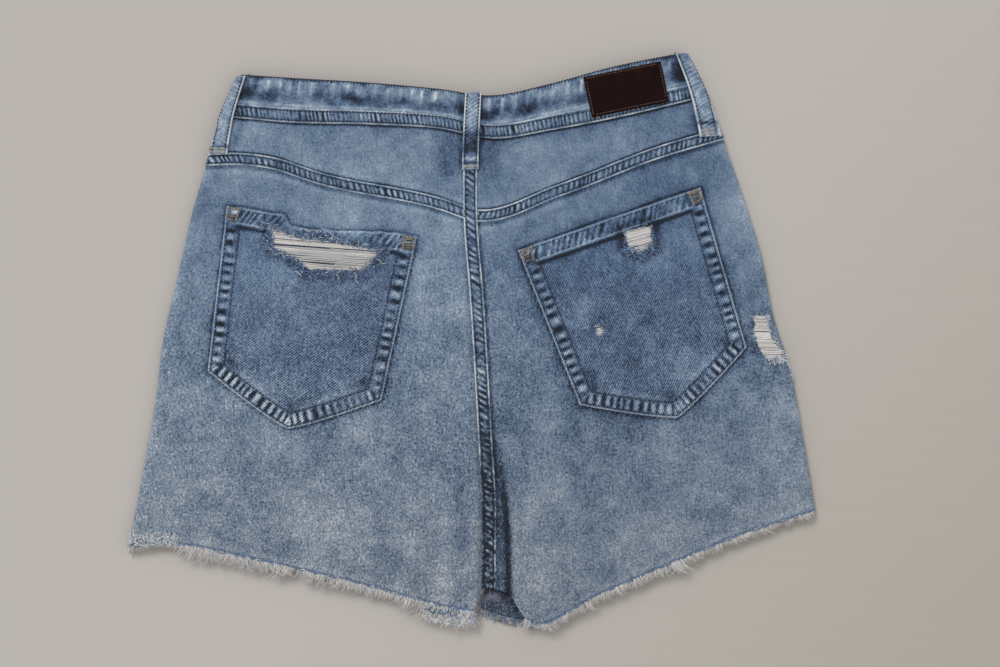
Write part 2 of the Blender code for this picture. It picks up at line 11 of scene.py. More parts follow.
import bpy
import numpy as np
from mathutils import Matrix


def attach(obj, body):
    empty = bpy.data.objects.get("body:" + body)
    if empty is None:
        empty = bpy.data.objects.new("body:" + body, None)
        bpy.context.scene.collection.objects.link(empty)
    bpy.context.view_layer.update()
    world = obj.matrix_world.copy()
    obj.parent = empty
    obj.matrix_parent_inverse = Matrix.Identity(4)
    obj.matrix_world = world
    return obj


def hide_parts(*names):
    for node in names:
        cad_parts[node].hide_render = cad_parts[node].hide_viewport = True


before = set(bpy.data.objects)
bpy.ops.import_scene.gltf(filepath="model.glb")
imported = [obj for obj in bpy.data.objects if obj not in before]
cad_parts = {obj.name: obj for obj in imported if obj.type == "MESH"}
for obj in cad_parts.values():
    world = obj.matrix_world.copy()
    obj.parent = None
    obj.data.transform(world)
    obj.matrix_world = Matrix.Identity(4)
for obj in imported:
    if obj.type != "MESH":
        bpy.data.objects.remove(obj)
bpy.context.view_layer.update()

MM = 0.001
DATUM = (-6.5, -5.5)

# ---------------------------------------------------------------- thickness and lie, as in the part
CLOTH = 1.2
BAND = 2.2
LOOP_THICK = 2.1
LEATHER = 1.5
GAP = 0.3
LAYER_GAP = 0.6
FRONT_INSET = 1.2
FOLD = 5.0
TURN_LENGTH = 14.0     # cloth taken up by the half turn under each side
SIDE_HEIGHT = 8.0
CROWN = 2.4
CHEEK = 2.6
CHEEK_PLACE = (118, -25)
CHEEK_REACH = (80, 105)
WAIST_LIFT = 1.8
BAND_FLOOR = 2.4
BAND_RAMP = 60
FRONT_DROP = 10
BAND_PROUD = 1.0

# ---------------------------------------------------------------- outline, as in the part
Side = namedtuple("Side", "height left right")
SIDES = (
    Side(226, -173, 180),
    Side(200, -186, 192),
    Side(163, -202, 207),
    Side(125, -216, 219),
    Side(62, -234, 236),
    Side(6, -249, 245),
    Side(-26, -254, 254),
    Side(-85, -267, 263),
    Side(-152, -283, 271),
)
Waist = namedtuple("Waist", "across top seam")
WAIST = (
    Waist(-190, 225, 190.5),
    Waist(-135, 218.5, 183),
    Waist(-71, 211.5, 178.5),
    Waist(-16, 204, 172.5),
    Waist(25, 197, 163),
    Waist(72, 204, 167.5),
    Waist(121, 215, 174.5),
    Waist(197, 227, 189),
)
Yoke = namedtuple("Yoke", "across seam")
YOKE = (
    Yoke(-203, 162),
    Yoke(-180, 161.5),
    Yoke(-151, 156.5),
    Yoke(-118, 144),
    Yoke(-19, 118),
    Yoke(8, 108),
    Yoke(77, 125),
    Yoke(159, 152),
    Yoke(208, 164),
)
Centre = namedtuple("Centre", "height across")
CENTRE = (
    Centre(205, 11.5),
    Centre(150, 6.5),
    Centre(100, 4.2),
    Centre(40, 6.2),
    Centre(-85, 8.0),
    Centre(-125, 8.6),
    Centre(-180, 6.0),
)
Hem = namedtuple("Hem", "across height reach")
HEM_LEFT = (
    Hem(-283, -150, 8),
    Hem(-255, -149, 4),
    Hem(-234, -151, 12),
    Hem(-190, -162, 14),
    Hem(-113, -183, 12),
    Hem(-58, -200, 14),
    Hem(-30, -209, 18),
    Hem(-14, -213, 13),
)
HEM_RIGHT = (
    Hem(33, -222, 8),
    Hem(45, -227, 8),
    Hem(61, -221.5, 9),
    Hem(86, -208.5, 9),
    Hem(126, -192.5, 9),
    Hem(175, -174.5, 8),
    Hem(212, -161.5, 8),
    Hem(271, -146, 6),
)
CROTCH_TOP = -184
LEG_LEFT = ((-184, 5.5), (-197, 1.5), (-211, -6))       # height, across
LEG_RIGHT = ((-184, 6.5), (-197, 7.5), (-202, 22), (-222, 33))
FRONT_LEG_LEFT = ((-184, 5.5), (-200, -2), (-209, -12))
FRONT_LEG_RIGHT = ((-184, 6.5), (-198, 2.2), (-214, -2))
FRONT_HEM_SHORTER = 3
FRONT_HEM_INNER = ((-2, -214), (17, -221), (38, -226))     # across, height

# ---------------------------------------------------------------- folds
Valley = namedtuple("Valley", "height depth width")
VALLEY = (
    Valley(226, 0.0, 2),
    Valley(165, 0.6, 2),
    Valley(100, 1.6, 2),
    Valley(0, 2.4, 3),
    Valley(-60, 3.0, 5),
    Valley(-115, 5.0, 10),
    Valley(-160, 6.2, 13),
    Valley(-200, 6.6, 14),
)
VALLEY_WALL = 9
Crease = namedtuple("Crease", "across height turn length width rise")
CREASES = (
    Crease(-52, -120, 84, 75, 13, 1.3),
    Crease(-140, -95, 62, 60, 17, -1.0),
    Crease(-205, -70, 80, 55, 14, 0.9),
    Crease(48, -130, 104, 62, 12, 1.4),
    Crease(150, -95, 118, 60, 16, -1.0),
    Crease(222, -85, 100, 48, 12, 0.8),
    Crease(-120, 150, 168, 50, 10, 0.5),
    Crease(120, 150, 16, 50, 10, 0.5),
)
SOFT_CREASES = (                   # smaller ones that only the finish has
    Crease(-84, -150, 80, 40, 7, -0.8),
    Crease(-28, -165, 78, 36, 6, 0.7),
    Crease(-172, -128, 70, 34, 8, 0.6),
    Crease(24, -150, 95, 44, 5, -0.7),
    Crease(78, -168, 112, 34, 7, -0.7),
    Crease(196, -112, 108, 38, 8, -0.6),
    Crease(-30, 60, 82, 60, 8, -0.5),
    Crease(26, 30, 92, 66, 8, 0.5),
    Crease(-222, 40, 104, 55, 7, -0.5),
    Crease(222, 70, 74, 45, 7, -0.5),
    Crease(-60, 150, 160, 34, 6, -0.4),
    Crease(66, 148, 20, 34, 6, -0.4),
)

# ---------------------------------------------------------------- what is sewn on
Pocket = namedtuple("Pocket", "across height lean level")
POCKETS = {"left": Pocket(-114.6, 103.3, -12.0, 0.42), "right": Pocket(114.8, 94.9, 16.4, 0.40)}
POCKET_TOP = 154
POCKET_FOOT = 141
POCKET_SIDE = 133
POCKET_TIP = 35
POCKET_LENGTH = 165
PATCH_SIZE = (63, 33)
PATCH_PLACE = (133.0, 197.2)
PATCH_TURN = 9.3
LOOP_WIDTH = 13
BACK_LOOP_TOP = 1.5
BACK_LOOP_FOOT = 27
Loop = namedtuple("Loop", "height inner turned")
SIDE_LOOPS = {
    "left": (Loop(222, 5.2, -20), Loop(190, 9.5, 5), Loop(160, 15.5, 46)),
    "right": (Loop(224, 7.0, -20), Loop(190, 12.0, 10), Loop(157, 19.0, 58)),
}
FRONT_LOOP_PLACE = 92
FRONT_LOOP_SPAN = (3, 10)
OVERLAP = 18
UNDERLAP_RAMP = 26
BUTTON_RADIUS = 8.5
BUTTON_THICK = 2.1
FLY_WIDTH = 36
FLY_LENGTH = 140
SCOOP = (82, 74)
FACING_REACH = 14

POCKET_BAND = 12.2                 # the inner stitch row round a patch pocket
SEAM_WIDTH = 9.6                   # double-stitched band below each yoke seam
CENTRE_WIDTH = 11.0
STITCH_IN = 1.9                    # stitch rows' distance from a seam's edge
STITCH_PITCH = 3.3
THREAD_RADIUS = 0.46
WEFT_RADIUS = 0.35
FRINGE_RADIUS = 0.27
BLUE_RADIUS = 0.25
EDGE_RADIUS = 0.36
LEDGE = 11.5                       # the waistband's lower band
BAND_HEIGHT = 35.0

# ---------------------------------------------------------------- steps of the grids
PANEL_STEP = 1.95
YOKE_STEP = 1.5
POCKET_STEP = 1.25
FINE_STEP = 0.9
FRONT_STEP = 5.0
BAND_COLUMNS = 460
STRIP_COLUMNS = 62

# ---------------------------------------------------------------- wash, and painted shade beside the back loop
Fade = namedtuple("Fade", "across height wide tall amount")
FADES_AND_SHADES = (
    Fade(-220, 80, 26, 80, -0.03),
    Fade(-228, -40, 24, 60, -0.05),
    Fade(-60, -30, 26, 50, -0.05),
    Fade(215, -110, 60, 50, 0.05),
    Fade(140, -165, 70, 26, 0.05),
    Fade(-165, -110, 60, 50, 0.02),
    Fade(-120, -150, 70, 40, 0.06),
    Fade(-80, -170, 14, 18, -0.12),
    Fade(-262, -144, 22, 6, 0.14),
    Fade(-60, -20, 30, 90, 0.04),
    Fade(-15, -40, 12, 90, -0.05),
    Fade(-14, -150, 6, 55, -0.12),
    Fade(-38, -140, 18, 50, -0.07),
    Fade(-30, -195, 8, 18, 0.12),
    Fade(-21, -205, 6, 14, -0.14),
    Fade(-100, -60, 90, 25, -0.04),
    Fade(-30, 95, 30, 16, 0.05),
    Fade(40, -150, 26, 70, 0.12),
    Fade(110, -100, 60, 40, -0.03),
    Fade(120, -160, 60, 30, 0.06),
    Fade(225, 110, 22, 60, 0.15),
    Fade(245, -100, 18, 60, 0.09),
    Fade(215, -120, 40, 40, 0.05),
    Fade(30, 60, 25, 60, 0.05),
    Fade(-110, 172, 50, 8, -0.07),
    Fade(-120, 150, 60, 10, 0.05),
    Fade(60, 150, 50, 10, 0.06),
    # these two rows are painted shade on the yoke either side of the back belt loop
    Fade(-12, 150, 12, 22, -0.22),
    Fade(22, 150, 12, 24, -0.20),
)
# the right half's lower levels are partly the cloth's own wash and partly painted shade over that side
LEFT_LEVEL = 0.575
RIGHT_LEVEL = 0.455
YOKE_LEVELS = {"left": 0.575, "right": 0.485}

# ---------------------------------------------------------------- rips, as outlines
RIPS = {
    "pocket_left": (
        (-154.7, 102.3), (-146.2, 96.3), (-132.9, 90.5), (-101.1, 85.5), (-69.4, 78.8),
        (-76.1, 69.1), (-84.5, 62.3), (-126, 65), (-136.7, 75.1), (-154, 83.9),
    ),
    "pocket_right": ((127.1, 83.9), (147.3, 87.8), (148.2, 72.5), (138.4, 67.4), (129, 72.6)),
    "pocket_right_small": ((100.2, 9.8), (105.2, 9.6), (105.6, 3.4), (102.4, 2.0)),
    "side": (
        (228, 12.3), (237.6, 11.9), (239.8, -4.3), (249.5, -18.4),
        (247.5, -23), (236, -22.5), (232.5, -17.5), (226.7, -4),
    ),
}
# frayed outseam below the side's rip
SIDE_TAIL = ((246, -22), (251, -25), (254.5, -31), (256.5, -38))
CURLED_HEM = ((-284, -149), (-270, -149.5), (-255, -148.5), (-243, -149.5))
LEG_CORNER = ((-44, -205), (-30, -209), (-17, -211), (-8, -212))
ABOVE_CORNER = tuple((across, height + 2) for across, height in LEG_CORNER)
Tangle = namedtuple("Tangle", "edge away_from count lift length depth yarn seed")
TANGLES = (
    Tangle(CURLED_HEM, (-262, -260), 440, 0.4, 3.2, 8.5, "cream", 340),
    Tangle(LEG_CORNER, (-24, -120), 330, -1.2, 5.0, 13.0, "cream", 341),
    Tangle(ABOVE_CORNER, (-24, -120), 150, -0.6, 5.0, 8.0, "blue", 342),
)


# ================================================================ curves, as in the part
def graph(rows):
    """A smooth curve through (place, value) rows, running straight on past its ends."""
    knots, values = np.array(sorted(rows), float).T
    slopes = np.gradient(values, knots)

    def read(at):
        at = np.asarray(at, float)
        i = np.clip(np.searchsorted(knots, at) - 1, 0, len(knots) - 2)
        span = knots[i + 1] - knots[i]
        t = np.clip((at - knots[i]) / span, 0, 1)
        past = at - knots[i] - t * span
        curve = (
            (1 + 2 * t) * (1 - t) ** 2 * values[i]
            + t * (1 - t) ** 2 * span * slopes[i]
            + t * t * (3 - 2 * t) * values[i + 1]
            + t * t * (t - 1) * span * slopes[i + 1]
        )
        return curve + past * np.where(t > 0.5, slopes[i + 1], slopes[i])

    return read


def polyline(rows):
    knots, values = np.array(sorted(rows), float).T
    return lambda at: np.interp(at, knots, values)


def column(rows, place, value):
    """One column of a table as a smooth curve over another."""
    return graph([(getattr(row, place), getattr(row, value)) for row in rows])


HEMS = {"left": HEM_LEFT, "right": HEM_RIGHT}
side = {which: column(SIDES, "height", which) for which in HEMS}
waist_top = column(WAIST, "across", "top")
waist_seam = column(WAIST, "across", "seam")
yoke_seam = column(YOKE, "across", "seam")
centre_seam = column(CENTRE, "height", "across")
valley_depth = column(VALLEY, "height", "depth")
valley_width = column(VALLEY, "height", "width")
hem = {which: column(rows, "across", "height") for which, rows in HEMS.items()}
reach = {which: column(rows, "across", "reach") for which, rows in HEMS.items()}
BAND_MIDDLE = float(centre_seam(190))      # the centre line's place across, in the waistband
SIGN = {"left": -1, "right": 1}


def ramp(start, end, at):
    """0 before start, 1 past end and a soft S between."""
    t = np.clip((np.asarray(at, float) - start) / (end - start), 0, 1)
    return t * t * (3 - 2 * t)


def bump(off, width):
    """1 in the middle, falling away on both sides."""
    return np.exp(-((np.asarray(off, float) / width) ** 2))


def front_drop(x):
    left, right = side["left"](215), side["right"](215)
    share = np.clip((2 * np.asarray(x, float) - left - right) / (right - left), -1, 1)
    return FRONT_DROP * (1 - share ** 2)


def front_top(x):
    return waist_top(x) - front_drop(x)


def front_seam(x):
    return waist_seam(x) - front_drop(x)


def floor_height(x, y):
    return BAND_FLOOR * ramp(front_seam(x) - BAND_RAMP, front_seam(x), y)


def back_height(x, y):
    """Outer face of the back layer above the surface."""
    left, right = side["left"](y), side["right"](y)
    share = (2 * x - left - right) / (right - left)
    high = SIDE_HEIGHT + CROWN * (1 - np.abs(share) ** 3)
    high = high + WAIST_LIFT * ramp(120, 185, y)
    off = np.abs(x - centre_seam(y)) - CHEEK_PLACE[0]
    up = y - CHEEK_PLACE[1]
    high = high + CHEEK * np.exp(-(off / CHEEK_REACH[0]) ** 2 - (up / CHEEK_REACH[1]) ** 2)
    for crease in CREASES + SOFT_CREASES:
        turn = math.radians(crease.turn)
        along = (x - crease.across) * math.cos(turn) + (y - crease.height) * math.sin(turn)
        beside = (y - crease.height) * math.cos(turn) - (x - crease.across) * math.sin(turn)
        high = high + crease.rise * bump(along, crease.length) * bump(beside, crease.width)
    past = x - centre_seam(y)
    inside = ramp(-VALLEY_WALL - 3, -3, past)
    inside = inside * (1 - ramp(valley_width(y), valley_width(y) + VALLEY_WALL, past))
    return high - valley_depth(y) * inside


def lay(x, y, lift=0.0, proud=0.0):
    """Points lift above the back layer; what runs past a side turns under it."""
    x, y, lift, proud = np.broadcast_arrays(*(np.asarray(v, float) for v in (x, y, lift, proud)))
    sign = np.where(x > centre_seam(y), 1.0, -1.0)
    start = np.where(sign > 0, side["right"](y), side["left"](y)) - sign * FOLD
    past = np.maximum(sign * (x - start), 0)
    flat = np.where(past > 0, start, x)
    top = back_height(flat, y) + proud
    low = floor_height(flat, y)
    angle = math.pi * (0.5 - np.minimum(past / TURN_LENGTH, 1))
    across = flat + sign * (FOLD + lift) * np.cos(angle)
    height = (top + low) / 2 + ((top - low) / 2 + lift) * np.sin(angle)
    return np.stack((across, y, np.maximum(height, 0.03)), axis=-1)


def lay_plan(plan, lift):
    return lay(plan[..., 0], plan[..., 1], lift)


# ================================================================ noise
def noise(x, y, size, seed):
    """Smooth noise from -1 to 1 in blobs about size across."""
    table = np.random.default_rng(seed).uniform(-1, 1, (64, 64))
    x, y = np.broadcast_arrays(np.asarray(x, float) / size, np.asarray(y, float) / size)
    i, j = np.floor(x).astype(int), np.floor(y).astype(int)
    u, v = x - i, y - j
    u, v = u * u * (3 - 2 * u), v * v * (3 - 2 * v)
    near = table[i & 63, j & 63] * (1 - u) + table[(i + 1) & 63, j & 63] * u
    far = table[i & 63, (j + 1) & 63] * (1 - u) + table[(i + 1) & 63, (j + 1) & 63] * u
    return near * (1 - v) + far * v


def wobble(run, pitch, seed):
    """Uneven waves from -1 to 1 along a seam."""
    phase = run / pitch + 0.45 * noise(run, 0, 2.3 * pitch, seed)
    return np.sin(2 * math.pi * phase) * (0.8 + 0.3 * noise(run, 9, 3 * pitch, seed + 1))


def wash_and_shade(x, y):
    """Cloudy fading of the garment, with the painted shade of the table's rows beside the back loop, added
    to a panel's level.
    """
    tone = 0.075 * noise(x, y, 31, 1) + 0.07 * noise(x, y, 13, 2) + 0.055 * noise(x, y, 5.5, 3)
    tone = tone + 0.03 * noise(x, y / 3, 4, 4)
    for fade in FADES_AND_SHADES:
        tone = tone + fade.amount * bump(x - fade.across, fade.wide) * bump(y - fade.height, fade.tall)
    return tone


# ================================================================ plan grids, as in the part
def meet(across, down, guess):
    """The point where a curve y = across(x) crosses a curve x = down(y)."""
    x, y = guess
    for _ in range(40):
        y = float(across(x))
        x = float(down(y))
    return np.array((x, y))


def run_across(curve, start, end, at):
    x = start[0] + (end[0] - start[0]) * np.asarray(at)
    points = np.stack((x, curve(x)), axis=1)
    points[0], points[-1] = start, end
    return points


def run_down(curve, start, end, at):
    y = start[1] + (end[1] - start[1]) * np.asarray(at)
    points = np.stack((curve(y), y), axis=1)
    points[0], points[-1] = start, end
    return points


def coons(top, foot, inner, outer, columns, rows):
    """Plan points of a panel from its four edges; returns rows x columns x 2."""
    u = np.asarray(columns, float)[None, :, None]
    v = np.asarray(rows, float)[:, None, None]
    between = (1 - v) * top[None] + v * foot[None]
    between = between + (1 - u) * inner[:, None] + u * outer[:, None]
    corners = (1 - v) * ((1 - u) * top[0] + u * top[-1]) + v * ((1 - u) * foot[0] + u * foot[-1])
    return between - corners


def panel(top_curve, foot_curve, inner_curve, outer_curve, columns, rows, guesses):
    """Plan points of a panel between two across curves and two down curves."""
    curves = [(across, down) for across in (top_curve, foot_curve) for down in (inner_curve, outer_curve)]
    corners = [meet(across, down, guess) for (across, down), guess in zip(curves, guesses)]
    return coons(
        run_across(top_curve, corners[0], corners[1], columns),
        run_across(foot_curve, corners[2], corners[3], columns),
        run_down(inner_curve, corners[0], corners[2], rows),
        run_down(outer_curve, corners[1], corners[3], rows),
        columns,
        rows,
    )


def shares(length, step, edge=0.0, edge_step=0.8):
    """Shares from 0 to 1 of a length, in finer steps within edge of both ends."""
    fine = np.arange(0, edge, edge_step)
    middle = np.linspace(edge, length - edge, max(2, round((length - 2 * edge) / step) + 1))
    return np.concatenate((fine, middle, length - fine[::-1])) / length


def shifted(curve, by):
    return lambda at: curve(at) + by


def turned_edge(which):
    """Where the back layer ends under its side, measured along the cloth."""
    return shifted(side[which], SIGN[which] * (TURN_LENGTH - FOLD))


def inner_edge(which, leg):
    sign = SIGN[which]
    down_leg = polyline(leg)
    low = min(height for height, _ in leg)

    def read(y):
        y = np.asarray(y, float)
        seam = centre_seam(y) + sign * GAP / 2
        return np.where(y > CROTCH_TOP, seam, down_leg(np.maximum(y, low)) + sign * GAP / 2)

    return read


def densely(points, step):
    """Points every step along a polyline, and their distance along it."""
    points = np.asarray(points, float)
    lengths = np.concatenate(([0], np.cumsum(np.linalg.norm(np.diff(points, axis=0), axis=1))))
    run = np.linspace(0, lengths[-1], max(2, round(lengths[-1] / step) + 1))
    return np.stack([np.interp(run, lengths, points[:, k]) for k in range(points.shape[1])], axis=1), run


def beside(path):
    """Unit vectors to the left of a plan path, at each of its points."""
    ahead = np.gradient(path, axis=0)
    ahead /= np.linalg.norm(ahead, axis=1, keepdims=True)
    return np.stack((-ahead[:, 1], ahead[:, 0]), axis=1)


def nearest(plan, path, run):
    """Each plan point's distance from a path, and how far along the path that is."""
    flat = plan.reshape(-1, 2)
    away, along = np.empty(len(flat)), np.empty(len(flat))
    for part in np.array_split(np.arange(len(flat)), max(1, len(flat) // 4000)):
        gaps = np.linalg.norm(flat[part][:, None] - path[None], axis=2)
        found = gaps.argmin(axis=1)
        away[part] = gaps[np.arange(len(part)), found]
        along[part] = run[found]
    return away.reshape(plan.shape[:-1]), along.reshape(plan.shape[:-1])


def within(plan, outline):
    """True for the plan points inside a closed outline."""
    x, y = plan[..., 0], plan[..., 1]
    inside = np.zeros(x.shape, bool)
    for (ax, ay), (bx, by) in zip(outline, outline[1:] + outline[:1]):
        crosses = (ay > y) != (by > y)
        inside ^= crosses & (x < (bx - ax) * (y - ay) / (by - ay + 1e-9) + ax)
    return inside


# ================================================================ meshes
made = {}


def add_mesh(name, points, faces, material, tone=None, inside=None, grain=None):
    """A mesh from pattern-millimetre points, with its tone, inner face and grain for the materials."""
    used, faces = np.unique(faces, return_inverse=True)
    faces = faces.reshape(-1, 4)
    data = bpy.data.meshes.new(name)
    placed = (points[used] - (DATUM[0], DATUM[1], 0)) * MM
    data.from_pydata(placed.tolist(), [], faces.tolist())
    data.polygons.foreach_set("use_smooth", np.ones(len(faces), bool))
    for title, values in (("tone", tone), ("inside", inside)):
        if values is not None:
            layer = data.attributes.new(title, "FLOAT", "POINT")
            layer.data.foreach_set("value", np.asarray(values, np.float32)[used])
    if grain is not None:
        corners = np.empty(len(data.loops), np.int32)
        data.loops.foreach_get("vertex_index", corners)
        layer = data.uv_layers.new(name="Grain")
        layer.data.foreach_set("uv", (grain[used] * MM)[corners].astype(np.float32).ravel())
    data.materials.append(material)
    data.update()
    piece = bpy.data.objects.new(name, data)
    bpy.context.scene.collection.objects.link(piece)
    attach(piece, "root")
    made[name] = piece
    return piece


def shell(name, outer, inner, tone, grain, material, kept=None):
    """A closed wall of cloth between its outer and inner grids, less the cells that aren't kept."""
    rows, columns = outer.shape[:2]
    count = rows * columns
    index = np.arange(count).reshape(rows, columns)
    cells = np.stack((index[:-1, :-1], index[:-1, 1:], index[1:, 1:], index[1:, :-1]), axis=-1)
    top = cells.reshape(-1, 4) if kept is None else cells[kept]
    edges = np.concatenate([top[:, [k, (k + 1) % 4]] for k in range(4)])
    lone = edges[~np.isin(edges[:, 0] * count + edges[:, 1], edges[:, 1] * count + edges[:, 0])]
    walls = np.stack((lone[:, 1], lone[:, 0], lone[:, 0] + count, lone[:, 1] + count), axis=1)
    faces = np.concatenate((top, top[:, ::-1] + count, walls))
    points = np.concatenate((outer.reshape(-1, 3), inner.reshape(-1, 3)))
    a, b, d = (points[top[:, k]] for k in (0, 1, 3))
    facing = np.cross(b - a, d - a) * (points[top[:, 0]] - points[top[:, 0] + count])
    if facing.sum() < 0:
        faces = faces[:, ::-1]
    return add_mesh(
        name,
        points,
        faces,
        material,
        np.tile(tone.ravel(), 2),
        np.repeat((0.0, 1.0), count),
        np.tile(grain.reshape(-1, 2), (2, 1)),
    )


def strands(name, paths, radius, material, tone=0.5, taper=None):
    """Many threads as one mesh; paths is threads x points x 3, in millimetres."""
    paths = np.asarray(paths, float)
    count, steps = paths.shape[:2]
    ahead = np.gradient(paths, axis=1)
    ahead /= np.linalg.norm(ahead, axis=2, keepdims=True) + 1e-9
    across = np.cross(ahead, np.array((0.05, 0.02, 1.0)))
    across /= np.linalg.norm(across, axis=2, keepdims=True) + 1e-9
    over = np.cross(across, ahead)
    radius = np.broadcast_to(np.asarray(radius, float), (count,))[:, None, None]
    if taper is not None:
        radius = radius * np.asarray(taper, float)[None, :, None]
    ring = [across, over, -across, -over]
    points = np.stack([paths + radius * way for way in ring], axis=2).reshape(-1, 3)
    points[:, 2] = np.maximum(points[:, 2], 0.02)
    index = np.arange(len(points)).reshape(count, steps, 4)
    sides = []
    for k, after in enumerate((1, 2, 3, 0)):
        corners = index[:, :-1, k], index[:, :-1, after], index[:, 1:, after], index[:, 1:, k]
        sides.append(np.stack(corners, axis=-1))
    ends = [index[:, 0, ::-1], index[:, -1, :]]
    faces = np.concatenate([part.reshape(-1, 4) for part in sides + ends])
    tone = np.broadcast_to(np.asarray(tone, float), (count,))
    return add_mesh(name, points, faces, material, np.repeat(tone, steps * 4))


# ================================================================ materials
def srgb(red, green, blue):
    """A screen colour from 0 to 255 as a linear one."""
    return tuple(
        v / 12.92 if v <= 0.04045 else ((v + 0.055) / 1.055) ** 2.4
        for v in (red / 255, green / 255, blue / 255)
    ) + (1.0,)


class Nodes:
    """Short calls for building one material's nodes."""

    def __init__(self, name):
        self.material = bpy.data.materials.new(name)
        self.material.use_nodes = True
        self.tree = self.material.node_tree
        self.shader = self.tree.nodes["Principled BSDF"]

    def add(self, kind, inputs=(), **settings):
        node = self.tree.nodes.new("ShaderNode" + kind)
        for key, value in settings.items():
            setattr(node, key, value)
        for key, value in dict(inputs).items():
            self.put(node.inputs[key], value)
        return node

    def put(self, socket, value):
        if isinstance(value, bpy.types.NodeSocket):
            self.tree.links.new(value, socket)
        else:
            socket.default_value = value

    def math(self, operation, first, second=0.0, clamp=False):
        node = self.add("Math", {0: first, 1: second}, operation=operation, use_clamp=clamp)
        return node.outputs[0]

    def attribute(self, title):
        return self.add("Attribute", attribute_name=title).outputs["Fac"]

    def noise(self, vector, scale, detail=2.0, roughness=0.5):
        inputs = {"Vector": vector, "Scale": scale, "Detail": detail, "Roughness": roughness}
        return self.add("TexNoise", inputs).outputs[0]

    def between(self, value, start, end, low=0.0, high=1.0):
        """low at start and high at end of a value, and level past both."""
        inputs = {"Value": value, "From Min": start, "From Max": end, "To Min": low, "To Max": high}
        return self.add("MapRange", inputs).outputs[0]

    def swing(self, value, amount):
        """A value from 0 to 1 as one from -amount / 2 to amount / 2."""
        return self.math("MULTIPLY", self.math("SUBTRACT", value, 0.5), amount)

    def scaled(self, vector, by):
        return self.add("VectorMath", {0: vector, 1: by}, operation="MULTIPLY").outputs[0]

    def ramp(self, factor, stops):
        node = self.add("ValToRGB", {0: factor})
        for spare in list(node.color_ramp.elements)[1:]:
            node.color_ramp.elements.remove(spare)
        node.color_ramp.elements[0].position = stops[0][0]
        node.color_ramp.elements[0].color = stops[0][1]
        for place, colour in stops[1:]:
            node.color_ramp.elements.new(place).color = colour
        return node.outputs[0]

    def mix(self, factor, first, second, blend="MIX"):
        node = self.add("Mix", data_type="RGBA", blend_type=blend)
        for key, value in (("Factor_Float", factor), ("A_Color", first), ("B_Color", second)):
            socket = next(s for s in node.inputs if s.identifier == key)
            self.put(socket, value)
        return next(s for s in node.outputs if s.identifier == "Result_Color")

    def surface(self, looks):
        for title, value in looks.items():
            self.put(self.shader.inputs[title], value)

    def bump(self, height, distance, strength=1.0):
        node = self.add("Bump", {"Height": height, "Distance": distance, "Strength": strength})
        self.put(self.shader.inputs["Normal"], node.outputs[0])


DENIM_STOPS = (
    (0.00, srgb(15, 23, 35)),
    (0.14, srgb(34, 49, 71)),
    (0.28, srgb(59, 79, 107)),
    (0.42, srgb(86, 108, 135)),
    (0.56, srgb(110, 130, 152)),
    (0.72, srgb(136, 153, 172)),
    (0.88, srgb(167, 180, 194)),
    (1.00, srgb(199, 207, 212)),
)
# the navy first stop gives painted shade to the inside of the front piece seen between the legs
INSIDE_STOPS = ((0.0, srgb(26, 34, 48)), (0.3, srgb(78, 92, 114)), (0.8, srgb(150, 158, 167)))
WARM_TINT = (1.09, 0.94, 0.84, 1.0)
TWILL = 0.26           # wave scale for twill lines 1.7 mm apart
FLECK_SHADE = 1.06
FLOAT_SHADE = 0.26
SLUB_SHADE = 0.30
CLOUD_SHADE = 0.30
UPPER_CALM = 0.58      # the speckle is softer towards the waist and to the right
RIGHT_CALM = 0.82
TWILL_SHADE = 0.14


def denim(name, cast=(1.0, 1.0, 1.0, 1.0), twill_shade=TWILL_SHADE):
    """Washed twill: tone from the vertices, speckled with slubs and cut by diagonal twill lines."""
    n = Nodes(name)
    grain = n.scaled(n.add("UVMap", uv_map="Grain").outputs[0], (1 / MM, -1 / MM, 1 / MM))
    twill = n.add(
        "TexWave",
        {"Vector": grain, "Scale": TWILL, "Distortion": 1.6, "Detail": 2.0, "Detail Scale": 0.9},
        bands_direction="DIAGONAL",
    ).outputs["Fac"]
    flecks = n.noise(grain, 0.55, 2.0, 0.6)
    stretched = n.scaled(grain, (0.85, 0.5, 1.0))
    floats = n.add("TexVoronoi", {"Vector": stretched, "Scale": 1.0}).outputs["Color"]
    slubs = n.noise(n.scaled(grain, (0.8, 0.14, 1.0)), 1.0, 2.0)
    clouds = n.noise(grain, 0.16, 3.0, 0.6)
    speckle = 0.0
    for part, shade in (
        (flecks, FLECK_SHADE),
        (floats, FLOAT_SHADE),
        (slubs, SLUB_SHADE),
        (clouds, CLOUD_SHADE),
        (twill, twill_shade),
    ):
        speckle = n.math("ADD", speckle, n.swing(part, shade))
    place = n.add("SeparateXYZ", {0: n.add("TexCoord").outputs["Object"]})
    upper = n.between(place.outputs["Y"], 0.0, 0.11, 1.0, UPPER_CALM)
    right = n.between(place.outputs["X"], 0.0, 0.08, 1.0, RIGHT_CALM)
    speckle = n.math("MULTIPLY", speckle, n.math("MULTIPLY", upper, right))
    tone = n.math("ADD", n.attribute("tone"), speckle, clamp=True)
    outer = n.ramp(tone, DENIM_STOPS)
    inner = n.ramp(tone, INSIDE_STOPS)
    colour = n.mix(n.attribute("inside"), outer, inner)
    warm = n.between(place.outputs["Y"], 0.08, -0.20)
    colour = n.mix(warm, colour, n.mix(1.0, colour, WARM_TINT, "MULTIPLY"))
    if cast != (1.0, 1.0, 1.0, 1.0):
        colour = n.mix(1.0, colour, cast, "MULTIPLY")
    roughness = n.math("ADD", 0.78, n.math("MULTIPLY", twill, 0.14))
    n.surface({"Base Color": colour, "Roughness": roughness, "Specular IOR Level": 0.25})
    n.surface({"Sheen Weight": 0.12, "Sheen Roughness": 0.6})
    relief = n.math("ADD", n.math("MULTIPLY", twill, 0.55), n.math("MULTIPLY", flecks, 0.9))
    n.bump(relief, 0.00045, 0.8)
    return n.material


